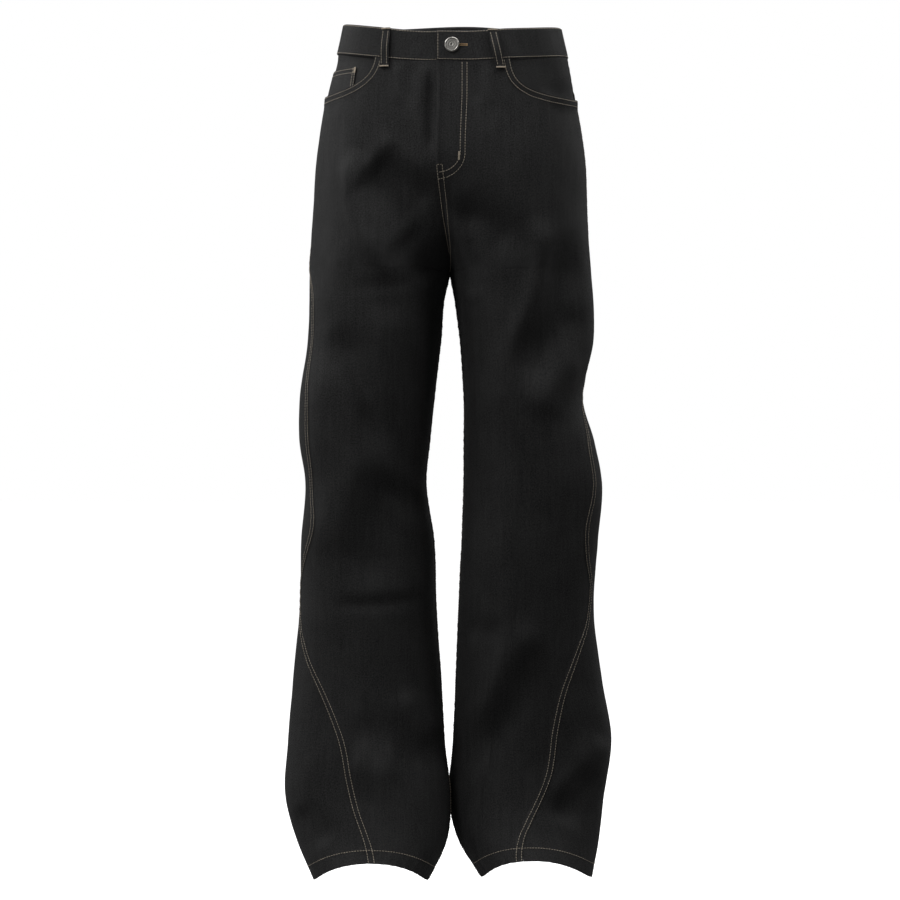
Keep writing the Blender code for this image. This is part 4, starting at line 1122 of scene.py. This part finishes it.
def placesAcross(distances, heights, fromFront=True):
    # points and normals at distances from the centre front or back, positive to the wearer's left
    distances, heights = np.broadcast_arrays(np.asarray(distances, float), np.asarray(heights, float))
    points = np.empty(distances.shape + (3,))
    normals = np.empty(distances.shape + (3,))
    for side in (right, left):
        here = distances >= 0.0 if side == left else distances < 0.0
        if not here.any():
            continue
        levels = heights[here]
        seam = outseamAngle(side, levels)
        middle = 0.0 * seam + (0.0 if fromFront else 360.0)
        length = frontLength(side, levels) if fromFront else backLength(side, levels)
        angle = angleAtShare(side, np.abs(distances[here]) / length, levels, middle, seam)
        points[here], normals[here] = clothPoint(side, angle, levels)
    return points, normals


def bandGrid(side):
    steps = body["bandHeight"] * (1.0 - np.array(band["rowShares"])[:, None])
    reach = -fly["overlap"] if side == left else band["underlap"]
    ends = np.linspace(reach, 0.0, band["endColumns"][side] + 1)[:-1]
    base = []
    for distance in ends:
        where = left if distance >= 0.0 else right
        base.append(seamHeight(where, abs(distance) / frontLength(where, body["seamFront"])[0]))
    endPoints, endNormals = placesAcross(ends[None, :], np.array(base)[None, :] + steps)
    seam = grids[side]["points"][0]
    lengths = runAlong(seam)
    angles = grids[side]["angle"][0][None, :] + 0.0 * steps
    points, normals = clothPoint(side, angles, seam[None, :, 2] + steps)
    distances = np.concatenate([ends, side * lengths])
    meetBehind(points)
    return {
        "side": side,
        "points": np.concatenate([endPoints, points], axis=1),
        "normals": np.concatenate([endNormals, normals], axis=1),
        "lift": band["proud"] + bandLift(side, distances)[None, :] + np.array(band["rims"])[:, None],
    }


def makeBands():
    for side in (right, left):
        grid = bandGrid(side)
        word = sideWord(side)
        far = grid["points"].shape[1] - 1
        grid["lifted"] = grid["points"] + grid["normals"] * grid["lift"][..., None]
        low = len(band["rowShares"]) - 1
        piece = clothShell("waistband" + word.title(), grid, (0, low), (0, far), grid["lift"],
                           wall=cloth["band"], grain=(2.9 * side, 0.2))
        standFor("waistband_" + word)
        grids["band" + word] = grid


loopShape = {
    "width": 0.011,
    "wall": 0.0020,
    "seat": 0.00035,
    "footEase": 0.00045,
    "bow": 0.0030,
    "top": 0.0005,
    "belowSeam": 0.0125,
    "steps": 36,
    "columns": 8,
    "crown": 0.00035,
    "rowPlace": 0.35,  # where a row of stitches runs, from the third column to the second
}
loopTable = (  # name, node, side, measured from, distance at the top and at the bottom
    ("FrontRight", "front_right", right, "front", 0.0664, 0.0687),
    ("FrontLeft", "front_left", left, "front", 0.0645, 0.0752),
    ("BackRight", "back_right", right, "back", 0.105, 0.105),
    ("BackLeft", "back_left", left, "back", 0.105, 0.105),
    ("CentreBack", "centre_back", left, "back", 0.0, 0.0),
)


def loopGrid(side, start, top, bottom):
    # a strip down across the waistband, as a block of points with its own lift
    fromFront = start == "front"
    down = np.linspace(0.0, 1.0, loopShape["steps"] + 1)
    across = np.linspace(-0.5, 0.5, loopShape["columns"] + 1)
    distance = top + down * (bottom - top)
    length = (frontLength if fromFront else backLength)(side, seamHeight(side))[0]
    share = distance / length
    seam = seamHeight(side, share) if fromFront else seamHeight(side, backShare=1.0 - share)
    drop = body["bandHeight"] - loopShape["top"] + loopShape["belowSeam"]
    level = seam + body["bandHeight"] - loopShape["top"] - down * drop
    away = side * (distance[:, None] + across[None, :] * loopShape["width"])
    points, normals = placesAcross(away, level[:, None], fromFront)
    onBand = smoothRamp(level, seam - loopShape["width"], seam)
    seat = loopShape["seat"] + band["proud"] * onBand + loopShape["footEase"] * (1.0 - onBand)
    bow = loopShape["bow"] * np.sin(math.pi * down) ** 2
    crown = loopShape["crown"] * np.cos(math.pi * across) ** 2
    lift = (seat + bow + loopShape["wall"])[:, None] + crown[None, :]
    return {"side": side if fromFront else -side, "points": points, "normals": normals, "lift": lift}


def makeLoops():
    for name, node, side, start, top, bottom in loopTable:
        grid = loopGrid(side, start, top, bottom)
        span = (0, loopShape["steps"]), (0, loopShape["columns"])
        piece = clothShell("beltLoop" + name, grid, *span, grid["lift"], wall=loopShape["wall"],
                           grain=(3.5, 0.1 * side))
        standFor("belt_loop_" + node)
        grid["lifted"] = grid["points"] + grid["normals"] * grid["lift"][..., None]
        grids["loop" + name] = grid


makeBands()
makeFronts()
makeFlyShield()
makeFacings()
makeBacks()
makeLoops()
print("cloth shells made:", len(trees))

# Sewing: each stitch is a short thread that dips into the cloth at both ends
thread = {
    "pitch": 0.0034,
    "length": 0.0028,
    "width": 0.00070,
    "height": 0.00055,
    "proud": 0.18,  # share of its height that a stitch stands up by
    "hemShare": 0.15,  # where the hem's row lies, from its fold to the next row
}
rowsFrom = {  # distances of the rows from the edges that they run along
    "seam": (0.0016, 0.0076),
    "mouth": (0.0018, 0.0082),
    "yoke": (0.0018, 0.0080),
    "pocket": (0.0018, 0.0080),
    "pocketHem": (0.0030, 0.0130),
    "coinTop": (0.0018, 0.0068),
    "coinSide": (0.0016, 0.0056),
}
tack = {"pitch": 0.00048, "width": 0.0022, "thread": (0.00055, 0.0008), "proud": 0.0002}
coinTack = {"inset": 0.0018, "width": 0.0042}
stitchMesh = bpy.data.meshes.new("stitch")
stitchShape = bmesh.new()
bmesh.ops.create_uvsphere(stitchShape, u_segments=6, v_segments=5, radius=0.5)
turnOver = Matrix.Rotation(math.pi / 2, 3, "Y")
bmesh.ops.rotate(stitchShape, verts=stitchShape.verts, cent=(0, 0, 0), matrix=turnOver)
stitchShape.to_mesh(stitchMesh)
stitchShape.free()
sewing = {}


def sewStitch(group, centre, along, normal, length, width, height):
    along = (along - normal * along.dot(normal)).normalized()
    frameOf = Matrix((along * length, normal.cross(along) * width, normal * height)).transposed().to_4x4()
    frameOf.translation = centre + normal * (thread["proud"] * height)
    one = stitchMesh.copy()
    one.transform(frameOf)
    sewing.setdefault(group, bmesh.new()).from_mesh(one)
    bpy.data.meshes.remove(one)


def evenPoints(path, pitch):
    # centres and directions at even steps along a path
    path = np.asarray(path)
    lengths = runAlong(path)
    count = max(1, int(lengths[-1] / pitch))
    stations = (np.arange(count) + 0.5) * lengths[-1] / count
    half = 0.3 * pitch

    def at(station):
        return np.stack([np.interp(station, lengths, path[:, axis]) for axis in range(3)], axis=-1)

    return at(stations), at(stations + half) - at(stations - half)


def sewRow(group, path, shell, pitch=thread["pitch"]):
    # lockstitches along a path that lies on or near a shell
    length = thread["length"] * (pitch / thread["pitch"])
    for centre, along in zip(*evenPoints(path, pitch)):
        spot, normal = trees[shell].find_nearest(Vector(centre))[:2]
        sewStitch(group, spot, Vector(along), normal, length, thread["width"], thread["height"])


def offsetPath(path, normals, distance):
    path = np.asarray(path)
    along = unit(np.gradient(path, axis=0))
    return path + unit(np.cross(normals, along)) * distance


def sewTack(group, start, end, shell, width=tack["width"]):
    # a bar tack: close thin threads across a line
    start, end = Vector(start), Vector(end)
    count = max(4, round((end - start).length / tack["pitch"]))
    for number in range(count + 1):
        spot, normal = trees[shell].find_nearest(start.lerp(end, number / count))[:2]
        across = normal.cross(end - start)
        sewStitch(group, spot + normal * tack["proud"], across, normal, width, *tack["thread"])


def blendColumns(lifted, first, second, distance, span):
    # a line between two columns that lie at known distances from an edge
    low, high = span
    t = (distance - low) / (high - low)
    return lifted[:, first] * (1.0 - t) + lifted[:, second] * t


def sewPanelSeams():
    welt = mesh["welt"]
    for side in (right, left):
        word = sideWord(side).title()
        lifted = grids[side]["lifted"]
        front = mesh["front"]
        for distance in rowsFrom["seam"]:
            outseam = blendColumns(lifted, front - 1, front - 2, distance, welt[:2])
            sewRow("outseamThread" + word, outseam[2:], "front" + word)
            inseam = blendColumns(lifted, 1, 2, distance, welt[:2])
            sewRow("inseamThread" + word, inseam[mesh["crotchRow"]:], "front" + word)
        fold = mesh["foldRow"]
        share = thread["hemShare"]
        hem = grids[side]["points"][fold] * (1.0 - share) + grids[side]["points"][fold + 1] * share
        sewRow("hemThread" + word, hem[:front + 1], "front" + word)
        sewRow("hemThread" + word, hem[front:], "back" + word)


jStitch = {
    "near": 0.0275,
    "nearLow": 0.0265,
    "apart": 0.0060,
    "top": -0.0350,
    "bendTop": -0.1463,
    "endNear": -0.1708,
    "endFar": -0.1785,
    "boxTop": -0.1616,
    "boxPitch": 0.0026,
    "seamRows": (0.0014, 0.0086),
    "lapColumns": 16,
    "sideTack": ((0.0252, -0.1462), (0.0246, -0.1560)),
    "tackWidth": 0.0024,
}


def frontPath(spots):
    distances, heights = np.array(spots).T
    return placesAcross(distances, heights)[0]


def sewFly():
    shell, group = "frontLeft", "flyThread"
    lap = grids["lap"]["lifted"]
    for number, low in ((0, jStitch["endNear"]), (1, jStitch["endFar"])):
        shift = number * jStitch["apart"]
        bottom = jStitch["nearLow"] + shift
        spots = [(jStitch["near"] + shift, jStitch["top"]), (bottom, jStitch["bendTop"])]
        for turn in np.linspace(0.0, 90.0, 13)[1:]:
            away = (bottom + fly["overlap"] - 0.001) * (1.0 - math.cos(math.radians(turn)))
            drop = (jStitch["bendTop"] - low) * math.sin(math.radians(turn))
            spots.append((bottom - away, jStitch["bendTop"] - drop))
        straight = np.linspace(spots[0], spots[1], 12)
        sewRow(group, frontPath(np.concatenate([straight, spots[2:]])), shell)
    # the box and the two rows that run on down the front seam
    corners = []
    for distance in jStitch["seamRows"]:
        line = []
        for row in range(mesh["flyRow"] - 8, mesh["crotchRow"] + 1):
            near = lap[row, :jStitch["lapColumns"]]
            run = runAlong(near)
            line.append([np.interp(distance, run, near[:, axis]) for axis in range(3)])
        line = np.array(line)
        below = int(np.argmax(line[:, 2] < jStitch["boxTop"]))
        part = (line[below - 1, 2] - jStitch["boxTop"]) / (line[below - 1, 2] - line[below, 2])
        corners.append(line[below - 1] + part * (line[below] - line[below - 1]))
        sewRow(group, np.concatenate([corners[-1:], line[below:]]), shell)
    sewRow(group, corners, shell, jStitch["boxPitch"])
    sewTack(group, *frontPath(jStitch["sideTack"]), shell, jStitch["tackWidth"])


def sewMouth(side):
    word = sideWord(side).title()
    row, column, last = mesh["mouthRow"], mesh["mouthColumn"], mesh["front"]
    path, normals = (
        np.concatenate([block[:row + 1, column], block[row, column + 1:last + 1]])
        for block in (grids[side]["lifted"], grids[side]["normals"])
    )
    for distance in rowsFrom["mouth"]:
        sewRow("mouthThread" + word, offsetPath(path, normals, -side * distance), "front" + word)


def sewBackPocket(side):
    word = sideWord(side).title()
    group, shell = "backPocketThread" + word, "backPocket" + word
    top, bottom = backPocket["topRow"], backPocket["bottomRow"]
    first, last = backPocket["first"], backPocket["last"]
    lifted, normals = grids[side]["pocketLifted"], grids[side]["normals"]
    outline, square = (
        np.concatenate([block[top:bottom, first], block[bottom, first:last], block[bottom:top - 1:-1, last]])
        for block in (lifted, normals)
    )
    for distance in rowsFrom["pocket"]:
        sewRow(group, offsetPath(outline, square, side * distance), shell)
    rim, square = lifted[top, first:last + 1], normals[top, first:last + 1]
    for distance in rowsFrom["pocketHem"]:
        sewRow(group, offsetPath(rim, square, -side * distance)[1:-1], shell)
    for column in (first, last):
        start, end = lifted[top, column], lifted[top + 2, column]
        shift = (lifted[top, (first + last) // 2] - start) * 0.02
        sewTack(group, start + shift, end + shift, shell)


def sewPockets():
    for side in (right, left):
        sewMouth(side)
        sewBackPocket(side)
    lifted, square = grids["coin"]["lifted"], grids["coin"]["normals"]
    for distance in rowsFrom["coinTop"]:
        sewRow("coinThread", offsetPath(lifted[0], square[0], distance), "coinPocket")
    for distance in rowsFrom["coinSide"]:
        sewRow("coinThread", offsetPath(lifted[:, 0], square[:, 0], -distance), "coinPocket")
    corner = offsetPath(lifted[:, 0], square[:, 0], -coinTack["inset"])
    sewTack("coinThread", corner[0], corner[2], "coinPocket", coinTack["width"])


def sewBacks():
    yokeRow, last = mesh["yokeRow"], mesh["all"]
    for side in (right, left):
        line = grids[side]["yokeLifted"][yokeRow, mesh["front"]:]
        square = grids[side]["normals"][yokeRow, mesh["front"]:]
        for distance in rowsFrom["yoke"]:
            sewRow("yokeThread", offsetPath(line, square, side * distance), "yoke" + sideWord(side).title())
    lifted = grids[left]["backLifted"]
    for distance in rowsFrom["seam"]:
        seat = blendColumns(lifted, last - 1, last - 2, distance, mesh["welt"][:2])
        sewRow("yokeThread", seat[1:yokeRow], "yokeLeft")
        sewRow("yokeThread", seat[yokeRow:mesh["crotchRow"]], "backLeft")


slit = {"start": 0.0195, "end": 0.0339, "pitch": 0.00048, "stitches": 30, "lip": 0.00080, "bar": 0.00125,
        "lipStitch": (0.0010, 0.00052, 0.0006), "barStitch": (0.0012, 0.0005, 0.0007)}


def sewBand():
    for side in (right, left):
        word = sideWord(side)
        lifted = grids["band" + word]["lifted"][:, band["sewnFrom"][side]:]
        for row in band["sewnRows"]:
            sewRow("bandThread" + word.title(), lifted[row], "waistband" + word.title())
    grid = grids["bandleft"]
    end = offsetPath(grid["lifted"][:, 0], grid["normals"][:, 0], 0.0020)
    sewRow("bandThreadLeft", end[1:-1], "waistbandLeft")
    # the buttonhole: two close rows of thread along the slit, and a bar at its end
    middle = body["seamFront"] + 0.5 * body["bandHeight"]
    steps = np.arange(slit["stitches"]) * slit["pitch"]
    for lip in (-slit["lip"], slit["lip"]):
        for centre in placesAcross(slit["start"] + steps, middle + lip)[0]:
            spot, normal = trees["waistbandLeft"].find_nearest(Vector(centre))[:2]
            sewStitch("buttonholeThread", spot, Vector((0, 0, 1)), normal, *slit["lipStitch"])
    for centre in placesAcross(slit["end"], middle + np.linspace(-slit["bar"], slit["bar"], 7))[0]:
        spot, normal = trees["waistbandLeft"].find_nearest(Vector(centre))[:2]
        sewStitch("buttonholeThread", spot, Vector((1, 0, 0)), normal, *slit["barStitch"])


def sewLoops():
    share = loopShape["rowPlace"]
    for name, *_ in loopTable:
        lifted = grids["loop" + name]["lifted"]
        for outer, inner in ((1, 2), (-2, -3)):
            line = lifted[:, outer] * share + lifted[:, inner] * (1.0 - share)
            sewRow("loopThread", line[3:-3], "beltLoop" + name)
        for row in (1, -2):
            sewTack("loopThread", lifted[row, 0], lifted[row, -1], "beltLoop" + name)


sewPanelSeams()
sewFly()
sewPockets()
sewBacks()
sewBand()
sewLoops()
threadPieces = []
for group, bm in sewing.items():
    material = goldThread if group == "buttonholeThread" else tanThread
    threadPieces.append(addPiece(group, bm, (material,)))
faceCount = sum(len(piece.data.polygons) for piece in threadPieces)
print("sewn:", len(threadPieces), "runs of thread,", faceCount, "faces")

# Tack button, turned from its profile
button = {
    "place": 0.0155,
    "radius": 0.0095,
    "clearance": 0.0007,
    "thickness": 0.0034,
    "sides": 96,
    "profile": (  # share of the radius, height below the top in mm, how deep in a groove
        (0.0, 0.75, 1.0), (0.06, 0.72, 1.0), (0.10, 0.44, 0.1), (0.26, 0.40, 0.0), (0.31, 0.42, 0.1),
        (0.34, 0.50, 0.3), (0.40, 0.50, 0.3), (0.43, 0.42, 0.1), (0.50, 0.38, 0.0), (0.64, 0.40, 0.0),
        (0.70, 0.46, 0.2), (0.73, 0.44, 0.3), (0.77, 0.16, 0.1), (0.81, 0.0, 0.0), (0.86, 0.06, 0.0),
        (0.92, 0.34, 0.0), (0.97, 0.90, 0.1), (1.0, 1.60, 0.2), (0.99, 2.40, 0.4),
        (0.95, 3.10, 0.7), (0.88, 3.40, 1.0),
        (0.30, 3.40, 1.0), (0.19, 3.90, 1.0), (0.19, 7.00, 1.0),
    ),
}


def makeButton():
    height = body["seamFront"] + 0.5 * body["bandHeight"]
    place, normal = placesAcross(button["place"], height)
    top = band["proud"] + bandLift(left, button["place"]) + button["clearance"] + button["thickness"]
    bm = bmesh.new()
    groove = bm.verts.layers.float.new("groove")
    previous = None
    for share, below, deep in button["profile"]:
        vertex = bm.verts.new((share * button["radius"], 0.0, top - below / 1000.0))
        vertex[groove] = deep
        if previous:
            bm.edges.new((previous, vertex))
        previous = vertex
    bmesh.ops.spin(bm, geom=bm.verts[:] + bm.edges[:], cent=(0, 0, 0), axis=(0, 0, 1), dvec=(0, 0, 0),
                   angle=2.0 * math.pi, steps=button["sides"], use_merge=True, use_duplicate=False)
    bmesh.ops.remove_doubles(bm, verts=bm.verts, dist=0.00001)
    bmesh.ops.holes_fill(bm, edges=[edge for edge in bm.edges if edge.is_boundary], sides=0)
    bmesh.ops.recalc_face_normals(bm, faces=bm.faces)
    facing = Vector(normal).to_track_quat("Z", "Y").to_matrix().to_4x4()
    bmesh.ops.transform(bm, matrix=Matrix.Translation(Vector(place)) @ facing, verts=bm.verts)
    piece = addPiece("tackButton", bm, (agedNickel,))
    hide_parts("button")


makeButton()
print("button made")

# Floor, light and camera
stage = {
    "floorHeight": -1.16,
    "floorReach": 40.0,
    "floorColour": (0.86, 0.86, 0.86, 1.0),
    "floorGlow": 1.0,
    "ambient": 0.080,
}
lights = (  # name, degrees round from the front and up, watts; negative is to the camera's left
    ("leftLight", -75.0, 45.0, 46.0),
    ("rightLight", 75.0, 45.0, 24.0),
    ("rightTopLight", 75.0, 72.0, 36.0),
    ("topLight", 0.0, 86.0, 24.0),
    ("lowLeftLight", -38.0, 18.0, 17.0),
    ("frontLeftLight", -38.0, 45.0, 18.0),
    ("backLight", 150.0, 45.0, 46.0),
    ("backSideLight", -130.0, 30.0, 30.0),
)
lightShape = {"distance": 4.6, "size": 1.8, "middle": (0.0, 0.0, -0.5)}
cameraSetup = {"place": (0.0, -4.5, -0.511), "lens": 143.3, "sensor": 36.0}


def makeStage():
    bm = bmesh.new()
    bmesh.ops.create_grid(bm, x_segments=4, y_segments=4, size=stage["floorReach"])
    bmesh.ops.translate(bm, vec=(0.0, 0.0, stage["floorHeight"]), verts=bm.verts)
    data = bpy.data.meshes.new("floor")
    bm.to_mesh(data)
    bm.free()
    floor = addObject("floor", data)
    material, tree, shader = newMaterial("paleFloor")
    shader.inputs["Base Color"].default_value = stage["floorColour"]
    shader.inputs["Roughness"].default_value = 0.9
    shader.inputs["Specular IOR Level"].default_value = 0.1
    shader.inputs["Emission Color"].default_value = (1.0, 1.0, 1.0, 1.0)
    shader.inputs["Emission Strength"].default_value = stage["floorGlow"]
    data.materials.append(material)
    floor.visible_diffuse = False
    floor.visible_glossy = False
    world = bpy.data.worlds.new("studio")
    bpy.context.scene.world = world
    world.use_nodes = True
    tree = world.node_tree
    shine = tree.nodes["Background"]
    seen = tree.nodes.new("ShaderNodeLightPath").outputs["Is Camera Ray"]
    tree.links.new(addRange(tree, seen, 0.0, 1.0, stage["ambient"], 1.0), shine.inputs["Strength"])
    shine.inputs["Color"].default_value = (1.0, 1.0, 1.0, 1.0)


def makeLights():
    middle = Vector(lightShape["middle"])
    for name, around, up, watts in lights:
        around, up = math.radians(around), math.radians(up)
        flat = math.cos(up)
        away = Vector((math.sin(around) * flat, -math.cos(around) * flat, math.sin(up)))
        data = bpy.data.lights.new(name, "AREA")
        data.shape = "DISK"
        data.size = lightShape["size"]
        data.energy = watts
        lamp = addObject(name, data)
        lamp.location = middle + away * lightShape["distance"]
        lamp.rotation_euler = (-away).to_track_quat("-Z", "Y").to_euler()


def makeCamera():
    data = bpy.data.cameras.new("camera")
    data.lens = cameraSetup["lens"]
    data.sensor_width = cameraSetup["sensor"]
    camera = addObject("camera", data)
    camera.location = cameraSetup["place"]
    camera.rotation_euler = (math.radians(90.0), 0.0, 0.0)
    bpy.context.scene.camera = camera
    bpy.context.scene.view_settings.view_transform = "Standard"


makeStage()
makeLights()
makeCamera()
print("stage, lights and camera set")
